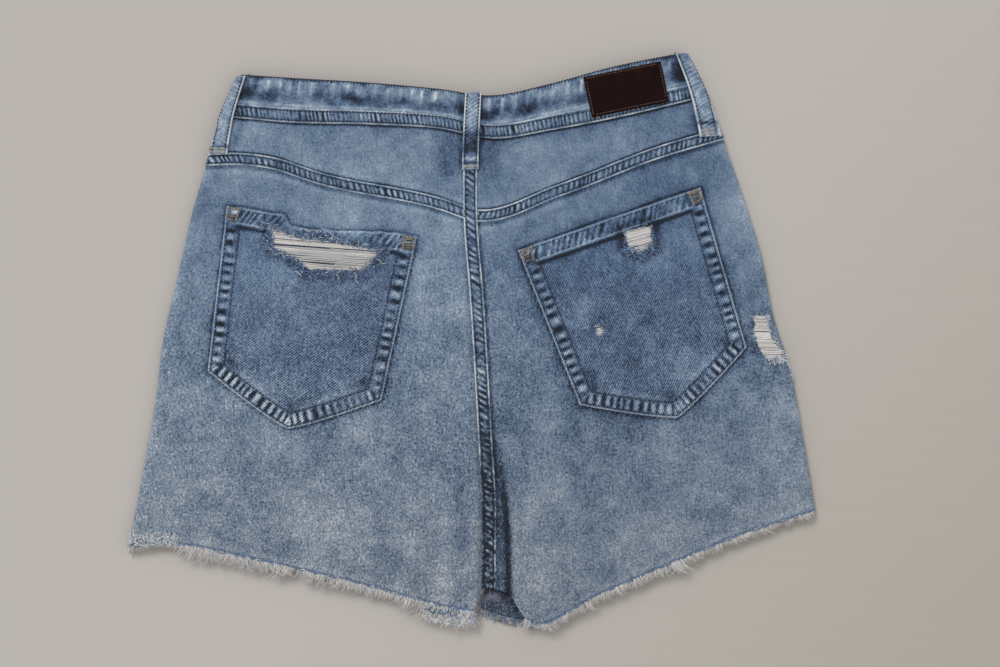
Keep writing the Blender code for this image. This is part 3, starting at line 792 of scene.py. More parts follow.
def yarn(name, dark, pale):
    """Spun thread: fine fibres along it, with each thread's own tone."""
    n = Nodes(name)
    place = n.add("TexCoord").outputs["Object"]
    fibres = n.noise(place, 2600.0, 2.0)
    tone = n.math("ADD", n.attribute("tone"), n.swing(fibres, 0.5), clamp=True)
    colour = n.ramp(tone, ((0.0, dark), (1.0, pale)))
    n.surface({"Base Color": colour, "Roughness": 0.85, "Sheen Weight": 0.2, "Specular IOR Level": 0.2})
    n.bump(fibres, 0.0002, 0.6)
    return n.material


LEATHER_STOPS = (
    (0.2, srgb(17, 6, 6)),
    (0.5, srgb(25, 9, 8)),
    (0.8, srgb(38, 17, 14)),
    (1.0, srgb(84, 54, 44)),
)
METAL_STOPS = ((0.35, srgb(92, 66, 44)), (0.62, srgb(176, 132, 92)))
FLOOR_STOPS = ((0.0, srgb(188, 183, 178)), (1.0, srgb(172, 168, 158)))


def leather():
    """Smooth dark brown leather with fine pores and slightly polished high spots."""
    n = Nodes("patch_leather")
    grain = n.scaled(n.add("UVMap", uv_map="Grain").outputs[0], (1 / MM, 1 / MM, 1 / MM))
    pores = n.add("TexVoronoi", {"Vector": grain, "Scale": 1.3}, feature="DISTANCE_TO_EDGE").outputs[0]
    cloud = n.noise(grain, 0.12, 3.0)
    mottle = n.noise(grain, 1.4, 3.0)
    tone = n.math("ADD", n.math("MULTIPLY", cloud, 0.6), n.math("MULTIPLY", mottle, 0.4))
    tone = n.math("ADD", tone, n.math("SUBTRACT", n.attribute("tone"), 0.5), clamp=True)
    roughness = n.math("ADD", 0.55, n.math("MULTIPLY", mottle, 0.2))
    colour = n.ramp(tone, LEATHER_STOPS)
    n.surface({"Base Color": colour, "Roughness": roughness, "Specular IOR Level": 0.07})
    relief = n.math("ADD", n.math("MINIMUM", pores, 0.25), n.math("MULTIPLY", mottle, 0.3))
    n.bump(relief, 0.0003, 0.5)
    return n.material


def aged_metal():
    n = Nodes("button_metal")
    place = n.add("TexCoord").outputs["Object"]
    patina = n.noise(place, 420.0, 4.0)
    roughness = n.math("ADD", 0.2, n.math("MULTIPLY", patina, 0.35))
    n.surface({"Base Color": n.ramp(patina, METAL_STOPS), "Roughness": roughness, "Metallic": 1.0})
    n.bump(patina, 0.0001, 0.4)
    return n.material


def floor_material():
    """Matt pale board, a little greyer away from the light, with a faint brushed streak."""
    n = Nodes("floor_board")
    place = n.add("TexCoord").outputs["Object"]
    streak = n.noise(n.scaled(place, (6.0, 160.0, 1.0)), 1.0, 3.0)
    far = n.add("SeparateXYZ", {0: place})
    slope = n.math("MULTIPLY", n.math("SUBTRACT", far.outputs["X"], far.outputs["Y"]), 1.65)
    slope = n.math("ADD", slope, n.swing(streak, 0.25))
    slope = n.math("ADD", slope, -0.08, clamp=True)
    n.surface({"Base Color": n.ramp(slope, FLOOR_STOPS), "Roughness": 0.9, "Specular IOR Level": 0.1})
    n.bump(streak, 0.0003, 0.3)
    return n.material


DENIM = denim("denim")
POCKET_DENIM = denim("pocket_denim", (0.97, 1.0, 1.04, 1.0), 0.38)
NAVY_THREAD = yarn("thread_navy", srgb(16, 22, 32), srgb(50, 62, 84))
TAN_THREAD = yarn("thread_tan", srgb(78, 76, 74), srgb(170, 162, 152))
BROWN_THREAD = yarn("thread_brown", srgb(44, 26, 22), srgb(104, 66, 54))
PALE_THREAD = yarn("thread_pale", srgb(120, 122, 126), srgb(190, 190, 186))
CREAM_YARN = yarn("yarn_cream", srgb(148, 152, 158), srgb(228, 224, 220))
PALE_YARN = yarn("yarn_pale", srgb(158, 172, 190), srgb(240, 240, 236))
HEM_YARN = yarn("yarn_hem_blue", srgb(40, 64, 98), srgb(104, 140, 178))
BLUE_YARN = yarn("yarn_blue", srgb(12, 28, 60), srgb(134, 162, 198))
LEATHER_LOOK = leather()
METAL = aged_metal()


# ================================================================ seams
def ladder(away, run, width, pitch, slant, seed):
    """Relief and tone of a double-stitched band, across its width and along its run."""
    between = 1.0
    for inside in (away, width - away):
        between = between * ramp(STITCH_IN - 0.3, STITCH_IN + 0.9, inside)
    rung = np.tanh(2.2 * wobble(run + slant * away, pitch, seed))
    rung = rung * (0.65 + 0.55 * noise(run, away / 2, pitch, seed + 3))
    groove = bump(away - STITCH_IN, 0.8) + bump(width - STITCH_IN - away, 0.8)
    edge = bump(away - 0.2, 0.9) + bump(width - 0.2 - away, 0.9)
    relief = 0.30 * rung * between - 0.40 * groove - 0.25 * edge
    worn = 0.95 + 0.5 * noise(run, away, 9, seed + 5)
    tone = 0.41 * rung * between * worn - 0.20 * groove + 0.50 * edge * worn
    return relief, tone + 0.13 * noise(run, away, 13, seed + 7) + 0.10 * noise(run, away, 2.4, seed + 8)


stitches = {"navy": [], "tan": [], "brown": [], "pale": []}


def stitch_row(points, kind="navy", pitch=STITCH_PITCH, fill=0.66):
    """Stitches along 3-D points that lie on the cloth's face."""
    path, run = densely(points, 0.3)
    starts = np.arange(pitch / 2, run[-1] - pitch / 2, pitch)
    for start in starts:
        at = start + np.array((-0.5, -0.3, 0.3, 0.5)) * pitch * fill
        stitch = np.stack([np.interp(at, run, path[:, k]) for k in range(3)], axis=1)
        stitch[:, 2] += (-0.25, 0.25, 0.25, -0.25)
        stitches[kind].append(stitch)


def bartack(start, end, half, lift, kind="pale", step=0.55):
    """A dense zigzag bar between two plan points."""
    path, _ = densely((start, end), step)
    for point, way in zip(path, beside(path)):
        ends = point + way * half, point - way * half + (path[1] - path[0]) * 0.5
        plan = np.stack([ends[0] + (ends[1] - ends[0]) * t for t in (0.0, 0.25, 0.75, 1.0)])
        rise = lift + np.array((-0.2, 0.42, 0.42, -0.2))
        stitches[kind].append(lay_plan(plan, rise))


def sew():
    """The stitches gathered so far, as one mesh for each thread."""
    looks = {"navy": NAVY_THREAD, "tan": TAN_THREAD, "brown": BROWN_THREAD, "pale": PALE_THREAD}
    rng = np.random.default_rng(41)
    for kind, paths in stitches.items():
        tone = rng.uniform(0.1, 0.75, len(paths))
        strands(f"stitches_{kind}", paths, THREAD_RADIUS, looks[kind], tone, (0.7, 1, 1, 0.7))


def seam_band(name, path, run, width, level, pitch, slant, seed, lift=1.0, shade=None):
    """A raised double-stitched band along a plan path, which is its middle."""
    away = np.linspace(0, width, round(width / 0.75) + 1)
    plan = path[:, None] + beside(path)[:, None] * (width / 2 - away)[None, :, None]
    along = np.broadcast_to(run[:, None], plan.shape[:2])
    across = np.broadcast_to(away[None], plan.shape[:2])
    relief, tone = ladder(across, along, width, pitch, slant, seed)
    tone = tone + level + 0.5 * wash_and_shade(plan[..., 0], plan[..., 1])
    if shade is not None:
        tone = tone + shade(across, along)
    ends = ramp(0, 1.5, along) * ramp(0, 1.5, run[-1] - along)
    top = lift * (0.25 + 0.75 * ends)
    outer = lay_plan(plan, top + relief)
    inner = lay_plan(plan, 0.05)
    shell(name, outer, inner, tone, plan, DENIM)
    for row in (STITCH_IN, width - STITCH_IN):
        rail = path + beside(path) * (width / 2 - row)
        stitch_row(lay_plan(rail, lift - 0.35))


def make_yoke_bands():
    for which, sign in SIGN.items():
        start = float(centre_seam(108)) + sign * (CENTRE_WIDTH / 2 - (3.0 if which == "left" else 0))
        end = float(turned_edge(which)(163)) - sign * 1.0
        x = np.linspace(start, end, 300)
        line = np.stack((x, yoke_seam(x) - SEAM_WIDTH / 2 - 0.4), axis=1)
        path, run = densely(line, FINE_STEP)
        seam_band(f"seam_yoke_{which}", path, run, SEAM_WIDTH, 0.40, 4.4, 0.5 * sign, 60 + sign)


def make_centre_band():
    y = np.linspace(148, CROTCH_TOP - 13, 300)
    path, run = densely(np.stack((centre_seam(y), y), axis=1), FINE_STEP)

    def shade(away, along):
        low = ramp(150, 260, along)
        diagonal = wobble(along + 0.9 * away, 5.0, 77)
        diagonal = diagonal * ramp(2, 4, away) * ramp(1, 3, CENTRE_WIDTH - away)
        white = 0.30 * bump(CENTRE_WIDTH - 0.4 - away, 0.9)
        speckled = 0.16 * noise(along, away, 4, 78) + (0.26 - 0.14 * low) * diagonal
        # lower down, where the band lies in the valley, painted shade darkens it and turns its pale edge
        # into a dark line
        deep = ramp(215, 262, along)
        rough = 0.30 * noise(along, away, 1.7, 79) - 0.55 * bump(CENTRE_WIDTH - 0.3 - away, 1.1)
        dark = 0.27 * low * (1 - bump(away - CENTRE_WIDTH, 1.2))
        return white * (1 - deep) - dark + speckled + deep * rough

    seam_band("seam_centre", path, run, CENTRE_WIDTH, 0.42, 5.2, 0.6, 71, 1.15, shade)


# ================================================================ back, yokes and waistband
def seam_shadow(plan):
    """Painted shade beside the yoke and centre seams that stand on the panels, and in the valley beside
    the centre seam under the overhanging right leg.
    """
    x, y = plan[..., 0], plan[..., 1]
    past = x - centre_seam(y)
    below = yoke_seam(x) - y
    # painted shadow on the panel just below the yoke seam's band
    tone = -0.24 * bump(below - SEAM_WIDTH - 2.0, 1.9)
    tone = tone + 0.10 * bump(below - SEAM_WIDTH - 5.5, 2.6) * (0.6 + 0.7 * noise(x, 0, 24, 12))
    # painted shadow on the panel along both sides of the centre seam's band
    beside_seam = ramp(-170, -60, y) * 0.22 + 0.06
    tone = tone - beside_seam * bump(past - CENTRE_WIDTH / 2 - 1.2, 1.3)
    tone = tone - 0.12 * bump(past + CENTRE_WIDTH / 2 + 1.2, 1.3)
    # painted shade in the hollow of the valley and under the right leg's overhanging fold
    hollow = ramp(4, 7, past) * (1 - ramp(valley_width(y) + 2, valley_width(y) + 6, past))
    overhang = bump(past - valley_width(y) - 2.2, 2.3)
    return tone - 0.27 * ramp(-40, -120, y) * hollow - 0.46 * ramp(-95, -150, y) * overhang


def pocket_outline(which):
    """Corners of a pocket: top left, left foot, tip, right foot and top right, then round its tip."""
    top, foot, left, right = pocket_edges(which, 41, 41)[:4]
    return np.concatenate((left, foot[1:-1], right[::-1])), top


def pocket_shadow(plan):
    """Painted shadow on the panel round each pocket: a dark line close to its edge and a softer, wider
    shade beyond it.
    """
    tone = 0.0
    for which in POCKETS:
        outline, top = pocket_outline(which)
        closed = np.concatenate((outline, top[::-1]))
        away, _ = nearest(plan, *densely(closed, 1.2))
        inside = within(plan, [tuple(point) for point in closed])
        tone = tone - np.where(inside, 0.0, 0.34 * bump(away - 0.9, 1.25) + 0.06 * bump(away - 3, 4))
    return tone


def hem_line(above):
    """The cut edge: a thin blue line, and paler cloth above it."""
    return -0.42 * bump(above - 0.7, 0.8) + 0.06 * bump(above - 4, 3)


RIP_HALO = {"pocket_left": 0.17, "pocket_right": 0.28, "pocket_right_small": 0.05}     # dark round a rip
RAGGED = 1.2


def pocket_rips(which):
    return [name for name in RIP_HALO if name.startswith(f"pocket_{which}")]


def rip_mask(name, plan):
    """The cells to leave out of a torn panel, and how near each vertex is to the tear."""
    middles = (plan[:-1, :-1] + plan[1:, 1:]) / 2
    x, y = middles[..., 0], middles[..., 1]
    jitter = np.stack((noise(x, y, 2.2, 21), noise(x, y, 2.2, 22)), axis=-1) * RAGGED
    torn = within(middles + jitter, RIPS[name])
    away, _ = nearest(plan, *densely(RIPS[name] + RIPS[name][:1], 0.8))
    return torn, away


def make_backs():
    for which, leg, level in (("left", LEG_LEFT, LEFT_LEVEL), ("right", LEG_RIGHT, RIGHT_LEVEL)):
        sign = SIGN[which]
        plan = panel(
            shifted(yoke_seam, -GAP / 2),
            hem[which],
            inner_edge(which, leg),
            turned_edge(which),
            shares(255, PANEL_STEP, 12, 1.0),
            shares(310, PANEL_STEP, 16, 0.9),
            ((0, 108), (sign * 210, 160), leg[-1][::-1], (sign * 280, -150)),
        )
        x, y = plan[..., 0], plan[..., 1]
        above_hem = y - hem[which](x)
        tone = level + wash_and_shade(x, y) + seam_shadow(plan) + pocket_shadow(plan) + hem_line(above_hem)
        outseam = np.abs(x - side[which](y))
        tone = tone + 0.09 * bump(outseam, 4.5)
        relief = 0.28 * noise(x, y / 2.2, 9, 31) + 0.16 * noise(x, y, 4, 32)
        relief = relief * ramp(0, 12, outseam)
        kept = None
        if which == "right":
            torn, away = rip_mask("side", plan)
            kept = ~torn
            tone = tone + 0.16 * bump(away, 1.4) - 0.10 * bump(away - 4, 3)
        # painted shade on the back panel seen through the pocket rips
        for name in pocket_rips(which):
            tone = tone - 0.28 * within(plan, RIPS[name])
        relief = relief * ramp(0, 4, above_hem)
        outer = lay(x, y, relief)
        inner = lay(x, y, relief * 0.6 - CLOTH)
        piece = shell(f"back_{which}_cloth", outer, inner, tone, plan, DENIM, kept=kept)
        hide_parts(f"back_{which}")


def make_yokes():
    for which, sign in SIGN.items():
        plan = panel(
            shifted(waist_seam, -GAP / 2),
            shifted(yoke_seam, GAP / 2),
            shifted(centre_seam, sign * GAP / 2),
            turned_edge(which),
            shares(205, YOKE_STEP),
            shares(46, YOKE_STEP, 4, 0.8),
            ((0, 170), (sign * 195, 190), (0, 108), (sign * 210, 160)),
        )
        x, y = plan[..., 0], plan[..., 1]
        below = waist_seam(x) - y
        above = y - yoke_seam(x)
        tone = YOKE_LEVELS[which] + wash_and_shade(x, y)
        # painted shade on the yoke under the waistband's lower edge
        tone = tone - 0.46 * bump(below - 0.7, 1.1) - 0.06 * bump(below - 3.5, 3)
        # a dark line along the yoke seam: painted shade in the crease where the back panel laps over
        tone = tone - 0.44 * bump(above - 0.4, 0.9) + 0.04 * bump(above - 4, 3)
        # painted shadow beside the back belt loop
        loop_side = np.abs(x - centre_seam(y)) - LOOP_WIDTH / 2
        tone = tone - 0.26 * bump(loop_side - 1, 2.6) * ramp(138, 146, y)
        # painted shadow beside the side belt loops
        past = np.abs(x - side[which](y))
        tone = tone - 0.14 * bump(past - 18, 3.5)
        relief = 0.22 * noise(x, y, 12, 33) + 0.12 * noise(x, y, 4.5, 34)
        relief = relief * ramp(0, 5, above) * ramp(0, 5, below) * ramp(0, 12, past)
        outer = lay(x, y, relief)
        inner = lay(x, y, relief * 0.5 - CLOTH)
        piece = shell(f"yoke_{which}_cloth", outer, inner, tone, plan, DENIM)
        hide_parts(f"yoke_{which}")


def band_finish(x, y, down):
    """Relief and tone of the waistband, down from its top edge."""
    up = BAND_HEIGHT - down
    relief, rows = ladder(np.clip(up, 0, LEDGE), x, LEDGE, 3.3, 0.15, 51)
    lower = 1 - ramp(LEDGE - 0.4, LEDGE + 0.6, up)
    relief, rows = relief * lower, rows * lower
    streak = np.clip(wobble(x + 0.15 * down, 10.5, 53), 0, 1) ** 2
    streak = streak + 0.6 * np.clip(noise(x, down / 6, 2.8, 56), 0, 1)
    streak = streak * ramp(1.5, 3.0, down) * (1 - ramp(7, 17 + 4 * noise(x, 3, 8, 54), down))
    rope = wobble(x + 0.5 * down, 2.4, 59) * bump(down - 1.3, 1.2)
    clouds = noise(x / 1.6, y, 7, 55) + 0.6 * noise(x, y, 3, 57)
    middle = bump(down - 14, 4.5) * (0.8 + 0.8 * noise(x, 7, 14, 58))
    top_roll = bump(down, 1.1)
    relief = relief + 0.40 * streak + 0.2 * clouds * (1 - lower) + 0.15 * rope
    relief = relief - 0.45 * top_roll - 0.25 * middle
    tone = 0.46 + rows + (1 - lower) * (0.40 * streak + 0.17 * clouds - 0.28 * middle + 0.01)
    tone = tone + 0.26 * bump(up - LEDGE - 1.8, 1.5) + 0.5 * wash_and_shade(x, y)
    return relief, tone - 0.12 * top_roll + 0.34 * rope


def part_way(top, seam, share):
    """A curve the given share of the way down the waistband."""
    return lambda x: top(x) + (seam(x) + GAP / 2 - top(x)) * share


def make_waistband():
    """One strip from the centre front round the back and to the centre front again."""
    outer_rows, inner_rows, tone_rows, grain_rows = [], [], [], []
    for share in shares(BAND_HEIGHT, 1.0):
        back = part_way(waist_top, waist_seam, share)
        front = part_way(front_top, front_seam, share)
        left, right = (meet(back, turned_edge(which), (sign * 190, 205)) for which, sign in SIGN.items())
        x = np.linspace(left[0], right[0], BAND_COLUMNS)
        y = back(x)
        down = share * BAND_HEIGHT
        relief, tone = band_finish(x, y, down)
        relief = relief * ramp(0, 12, np.abs(x - left[0])) * ramp(0, 12, np.abs(x - right[0]))
        # painted shadow on the waistband beside each belt loop
        for place in (centre_seam(185), side["left"](y) + 8, side["right"](y) - 9):
            beyond = np.maximum(np.abs(x - place) - LOOP_WIDTH / 2 - 1, 0)
            tone = tone - 0.24 * bump(beyond, 3.2)
        over = lay(x, y, relief, BAND_PROUD), lay(x, y, -BAND, BAND_PROUD)
        under = front_strip(BAND_MIDDLE + OVERLAP, over[0][0, 0], front, False)
        lap = front_strip(over[0][-1, 0], BAND_MIDDLE - OVERLAP, front, True)
        for store, k in ((outer_rows, 0), (inner_rows, 1)):
            store.append(np.concatenate((under[k][:-1], over[k], lap[k][1:])))
        plain, plain_lap = (
            0.5 + 0.4 * wash_and_shade(strip[:, 0] + 300, strip[:, 1]) for strip in (under[0][:-1], lap[0][1:])
        )
        tone_rows.append(np.concatenate((plain, tone, plain_lap)))
        along = np.concatenate((under[0][:-1, 0] * -1 - 400, x, 800 - lap[0][1:, 0]))
        grain_rows.append(np.stack((np.full_like(along, down), along), axis=1))
    piece = shell(
        "waistband_cloth",
        np.array(outer_rows),
        np.array(inner_rows),
        np.array(tone_rows),
        np.array(grain_rows),
        DENIM,
    )
    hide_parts("waistband")
    x = np.linspace(float(turned_edge("left")(200)) + 2, float(turned_edge("right")(200)) - 2, 900)
    for up in (STITCH_IN, LEDGE - STITCH_IN):
        stitch_row(lay(x, waist_seam(x) + up, -0.1, BAND_PROUD), pitch=2.9)
    stitch_row(lay(x, waist_top(x) + 0.1, -0.1, BAND_PROUD), pitch=2.3, fill=0.7)


def front_strip(start, end, curve, lapped):
    """Outer and inner points along the front waistband; a lapped end rises over the other."""
    x = np.linspace(start, end, STRIP_COLUMNS)
    low = np.full_like(x, BAND_FLOOR)
    if lapped:
        past = x - BAND_MIDDLE - OVERLAP
        low = low + (BAND + GAP) * (1 - ramp(2, UNDERLAP_RAMP, past))
    return np.stack((x, curve(x), low), axis=1), np.stack((x, curve(x), low + BAND), axis=1)


# ================================================================ pockets
def pocket_frame(which):
    """The middle of a patch pocket's top edge, and the ways along that edge and down."""
    pocket = POCKETS[which]
    turn = math.radians(pocket.lean)
    along = np.array((math.cos(turn), math.sin(turn)))
    down = np.array((math.sin(turn), -math.cos(turn)))
    return np.array((pocket.across, pocket.height)), along, down


def pocket_edges(which, columns, rows):
    """Top, foot and sides of a patch pocket, turned about the middle of its top edge."""
    origin, along, down = pocket_frame(which)

    def at(points):
        return origin + points[:, :1] * along + points[:, 1:] * down

    u = np.linspace(-1, 1, columns)
    v = np.linspace(0, 1, rows)
    half = POCKET_TOP / 2 + (POCKET_FOOT - POCKET_TOP) / 2 * v
    tip = POCKET_SIDE + POCKET_TIP * (1 - np.abs(u) ** 1.15)
    drop = worn_drop(u * POCKET_TOP / 2) if which == "left" else 0 * u
    top = at(np.stack((u * POCKET_TOP / 2, drop), axis=1))
    foot = at(np.stack((u * POCKET_FOOT / 2, tip), axis=1))
    left = at(np.stack((-half, POCKET_SIDE * v), axis=1))
    right = at(np.stack((half, POCKET_SIDE * v), axis=1))
    return top, foot, left, right, (u + 1) / 2, v


def worn_drop(across):
    """How far the torn left pocket's top edge has worn down."""
    return 7.5 * ramp(-31, -23, across) * (1 - ramp(-12, 62, across)) + 0.5 * noise(across, 0, 6, 81)


def pocket_finish(which, plan):
    """Relief and tone of a patch pocket."""
    path, run = densely(pocket_outline(which)[0], 0.7)
    away, along = nearest(plan, path, run)
    origin, along_top, down_side = pocket_frame(which)
    across, down = (plan - origin) @ along_top, (plan - origin) @ down_side
    x, y = plan[..., 0], plan[..., 1]
    seed = 100 if which == "left" else 120
    worn = np.zeros_like(down)
    if which == "left":
        worn = ramp(-36, -24, across) * (1 - ramp(45, 62, across))
        down = down - worn_drop(across)
    foot = ramp(POCKET_SIDE - 8, POCKET_SIDE + 2, np.minimum(along, run[-1] - along))
    blobs = wobble(along, 8.4, seed) * (1 - foot) + wobble(along, 6.2, seed + 2) * foot
    round_zone = bump(away - 6.4 - 1.2 * noise(along, 4, 9, seed + 12), 3.7) * ramp(1.4, 2.6, away)
    zone = round_zone * (1 - foot) + foot * ramp(1.8, 3.4, away) * (1 - ramp(10.0, 11.8, away))
    zone = zone * (0.85 + 0.5 * noise(along, 3, 11, seed + 9))
    ragged = 1 + 0.55 * noise(x, y, 3.2, seed + 4)
    dark, pale = np.clip(blobs, 0, 1) * ragged, np.clip(-blobs, 0, 1) * ragged
    edge = bump(away - 0.35, 0.75)
    rows = bump(away - 2.0, 0.7) + 0.8 * bump(away - POCKET_BAND, 0.8)
    tone = POCKETS[which].level + 0.9 * wash_and_shade(x, y)
    tone = tone + 0.50 * edge - 0.20 * rows - 0.72 * zone * dark ** 0.8 + 0.48 * zone * pale
    corner_places = POCKET_SIDE, run[-1] / 2, run[-1] - POCKET_SIDE
    corners = sum(bump(along - place, 18) for place in corner_places)
    patchy = 0.7 + 0.8 * noise(x, y, 8, seed + 5)
    tone = tone + corners * patchy * (0.28 * bump(away - 6, 4) - 0.36 * bump(away - 17, 4.5))
    tone = tone + 0.20 * foot * (1 - corners) * bump(away - 15.5, 3) * patchy
    relief = 0.55 * zone * (pale - dark) - 0.3 * rows - 0.45 * bump(away, 0.9)
    hem_zone = (1 - ramp(11.5, 13, down)) * ramp(0.8, 2.0, down) * (1 - 0.55 * worn)
    slanted = np.tanh(1.8 * wobble(across + 0.55 * down, 5.2, seed + 6))
    slanted = slanted * (0.6 + 0.7 * noise(across, down, 6, seed + 10))
    slanted = slanted + 0.5 * noise(across, down, 2.5, seed + 11)
    ridge = bump(down - 12.6, 1.0) * (1 - worn) * ramp(8, 12, away)
    # under: painted shadow on the pocket below its hem's ridge
    under = bump(down - 15.6, 1.5) * (1 - worn) * ramp(3, 9, away)
    top_edge = bump(down - 0.4, 0.9)
    tone = tone + 0.32 * slanted * hem_zone + 0.38 * ridge - 0.46 * under + 0.30 * top_edge
    tone = tone + worn * (1 - ramp(10, 16, down)) * (0.06 + 0.16 * noise(across, down, 2.6, seed + 7))
    relief = relief + 0.35 * slanted * hem_zone + 0.45 * ridge - 0.4 * under - 0.3 * top_edge
    relief = relief + 0.6 * (1 - ramp(12.5, 14.5, down)) * (1 - 0.5 * worn)
    return relief + 0.22 * noise(x, y, 11, seed + 8), tone


def make_pockets():
    columns, rows = round(POCKET_TOP / POCKET_STEP), round(POCKET_LENGTH / POCKET_STEP)
    for which in POCKETS:
        plan = coons(*pocket_edges(which, columns, rows))
        relief, tone = pocket_finish(which, plan)
        torn = np.zeros((rows - 1, columns - 1), bool)
        for name in pocket_rips(which):
            hole, away = rip_mask(name, plan)
            torn |= hole
            tone = tone + 0.10 * bump(away, 1.2) - RIP_HALO[name] * bump(away - 4.5, 4)
        _, along, down = pocket_frame(which)
        grain = np.stack((plan @ along, plan @ -down), axis=-1)
        outer = lay_plan(plan, CLOTH + GAP + relief)
        inner = lay_plan(plan, GAP)
        name = f"pocket_{which}_cloth"
        piece = shell(name, outer, inner, tone, grain, POCKET_DENIM, ~torn)
        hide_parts(f"pocket_{which}")
        sew_pocket(which)


CORNER_BARS = (
    # start and end from the corner as (inward, down), half width, lift, thread, step
    ((0, 1.6), (9.5, 1.6), 1.1, 0.6, "tan", 0.55),
    ((0.4, 3.0), (0.4, 9.5), 0.9, 0.6, "tan", 0.55),
    ((8.5, 3.5), (7.8, 11.5), 0.9, 0.6, "tan", 0.55),
    ((4.4, 2.6), (4.0, 10.5), 3.0, 0.5, "tan", 1.5),
    ((4.4, 3.3), (4.0, 10.5), 3.0, 0.5, "navy", 2.1),
)


def sew_pocket(which):
    """Stitch rows round a pocket and along its hem, and the bartacks at its corners."""
    path, _ = densely(pocket_outline(which)[0], 0.8)
    aside = beside(path)
    level = CLOTH + GAP - 0.15
    for inset in (2.0, POCKET_BAND):
        rail = path + aside * inset
        keep = nearest(rail, path, np.zeros(len(path)))[0] > inset - 0.25
        rail = rail[keep]
        stitch_row(lay_plan(rail, level))
    origin, along, down = pocket_frame(which)
    spans = ((-64, -33), (60, 66)) if which == "left" else ((-66, 66),)
    for start, end in spans:
        for below in (2.2, 11.4):
            rail = origin + np.linspace(start, end, 60)[:, None] * along + below * down
            stitch_row(lay_plan(rail, level + 0.5))
    for end in (-1, 1):
        corner = origin + end * (POCKET_TOP / 2 - 1.5) * along
        inward = -end * along
        for (start_in, start_down), (end_in, end_down), half, lift, kind, step in CORNER_BARS:
            start = corner + start_in * inward + start_down * down
            end = corner + end_in * inward + end_down * down
            bartack(start, end, half, level + lift, kind, step)


# ================================================================ loops and patch
Worn = namedtuple("Worn", "down tone")
BACK_LOOP_LEVELS = (
    Worn(0, 0.62),
    Worn(4, 0.74),
    Worn(20, 0.76),
    Worn(27, 0.55),
    Worn(34, 0.24),
    Worn(46, 0.16),
    Worn(50, 0.50),
    Worn(53, 0.80),
    Worn(55, 0.20),
    Worn(62, 0.70),
)
SIDE_LOOP_LEVELS = (
    Worn(0, 0.45),
    Worn(8, 0.62),
    Worn(24, 0.68),
    Worn(46, 0.66),
    Worn(54, 0.58),
    Worn(56, 0.15),
    Worn(58, 0.62),
    Worn(68, 0.66),
)


def loop_finish(name, plan_x, plan_y, base_lift, levels):
    """A belt loop from its rows of across and height places; levels are its tone down its length."""
    rows, columns = plan_x.shape
    w = np.linspace(-1, 1, columns)[None, :]
    run = plan_y[0, columns // 2] - plan_y
    edge = bump(np.abs(w) - 0.96, 0.16)
    groove = bump(np.abs(w) - 0.68, 0.13)
    twill = wobble(run + 4.0 * w, 3.1, 91)
    tone = polyline(levels)(run) + 0.50 * edge - 0.22 * groove + 0.13 * twill * (1 - edge)
    tone = tone + 0.14 * noise(plan_x, plan_y, 4.5, 92) + 0.12 * noise(plan_x, plan_y, 2, 95)
    relief = 0.10 * noise(plan_x, plan_y, 4, 93) - 0.22 * groove - 0.45 * bump(np.abs(w) - 1, 0.10)
    relief = relief + 0.35 * bump(w, 0.5)
    outer = lay(plan_x, plan_y, base_lift + LOOP_THICK + relief)
    inner = lay(plan_x, plan_y, base_lift)
    grain = np.stack((np.broadcast_to(w * LOOP_WIDTH / 2, (rows, columns)), plan_y), axis=-1)
    piece = shell(f"{name}_cloth", outer, inner, tone, grain, DENIM)
    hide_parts(name)
    for share in (0.15, 0.85):
        j = round(share * (columns - 1))
        stitch_row(outer[2:-2, j] + (0, 0, 0.05), pitch=2.8)


def make_back_loop():
    top = float(waist_top(11)) + BACK_LOOP_TOP
    foot = float(waist_seam(8)) - BACK_LOOP_FOOT
    y = np.linspace(top, foot, round((top - foot) / 0.8) + 1)[:, None]
    x = centre_seam(y) + np.linspace(-1, 1, 17)[None, :] * LOOP_WIDTH / 2
    y = np.broadcast_to(y, x.shape)
    seam = float(waist_seam(8))
    step = BAND_PROUD * ramp(seam - 9, seam - 3, y)
    loop_finish("loop_back", x, y, GAP + step, BACK_LOOP_LEVELS)
    middle = float(centre_seam(foot))
    bartack((middle - 5, foot + 2.4), (middle + 5, foot + 2.4), 1.5, LOOP_THICK + GAP)


def make_side_loops():
    for which, rows in SIDE_LOOPS.items():
        sign = SIGN[which]
        inner_at = column(rows, "height", "inner")
        turned_at = column(rows, "height", "turned")
        top, foot = rows[0].height, rows[-1].height
        y = np.linspace(top, foot, round((top - foot) / 0.8) + 1)[:, None]
        edge = side[which](y)
        near = edge - sign * inner_at(y)
        far = edge - sign * FOLD + sign * TURN_LENGTH * (90 - turned_at(y)) / 180
        share = np.linspace(0, 1, 19)[None, :]
        x = near + (far - near) * share
        y = np.broadcast_to(y, x.shape)
        step = BAND_PROUD * ramp(waist_seam(x) - 9, waist_seam(x) - 2, y)
        loop_finish(f"loop_{which}", x, y, LAYER_GAP + step, SIDE_LOOP_LEVELS)
        inner_x = float(side[which](foot)) - sign * (rows[-1].inner - 1.5)
        for up in (1.8, 4.6):
            start = inner_x, foot + up
            end = inner_x + sign * 10.5, foot + up + 1.0
            bartack(start, end, 1.1, LAYER_GAP + LOOP_THICK)


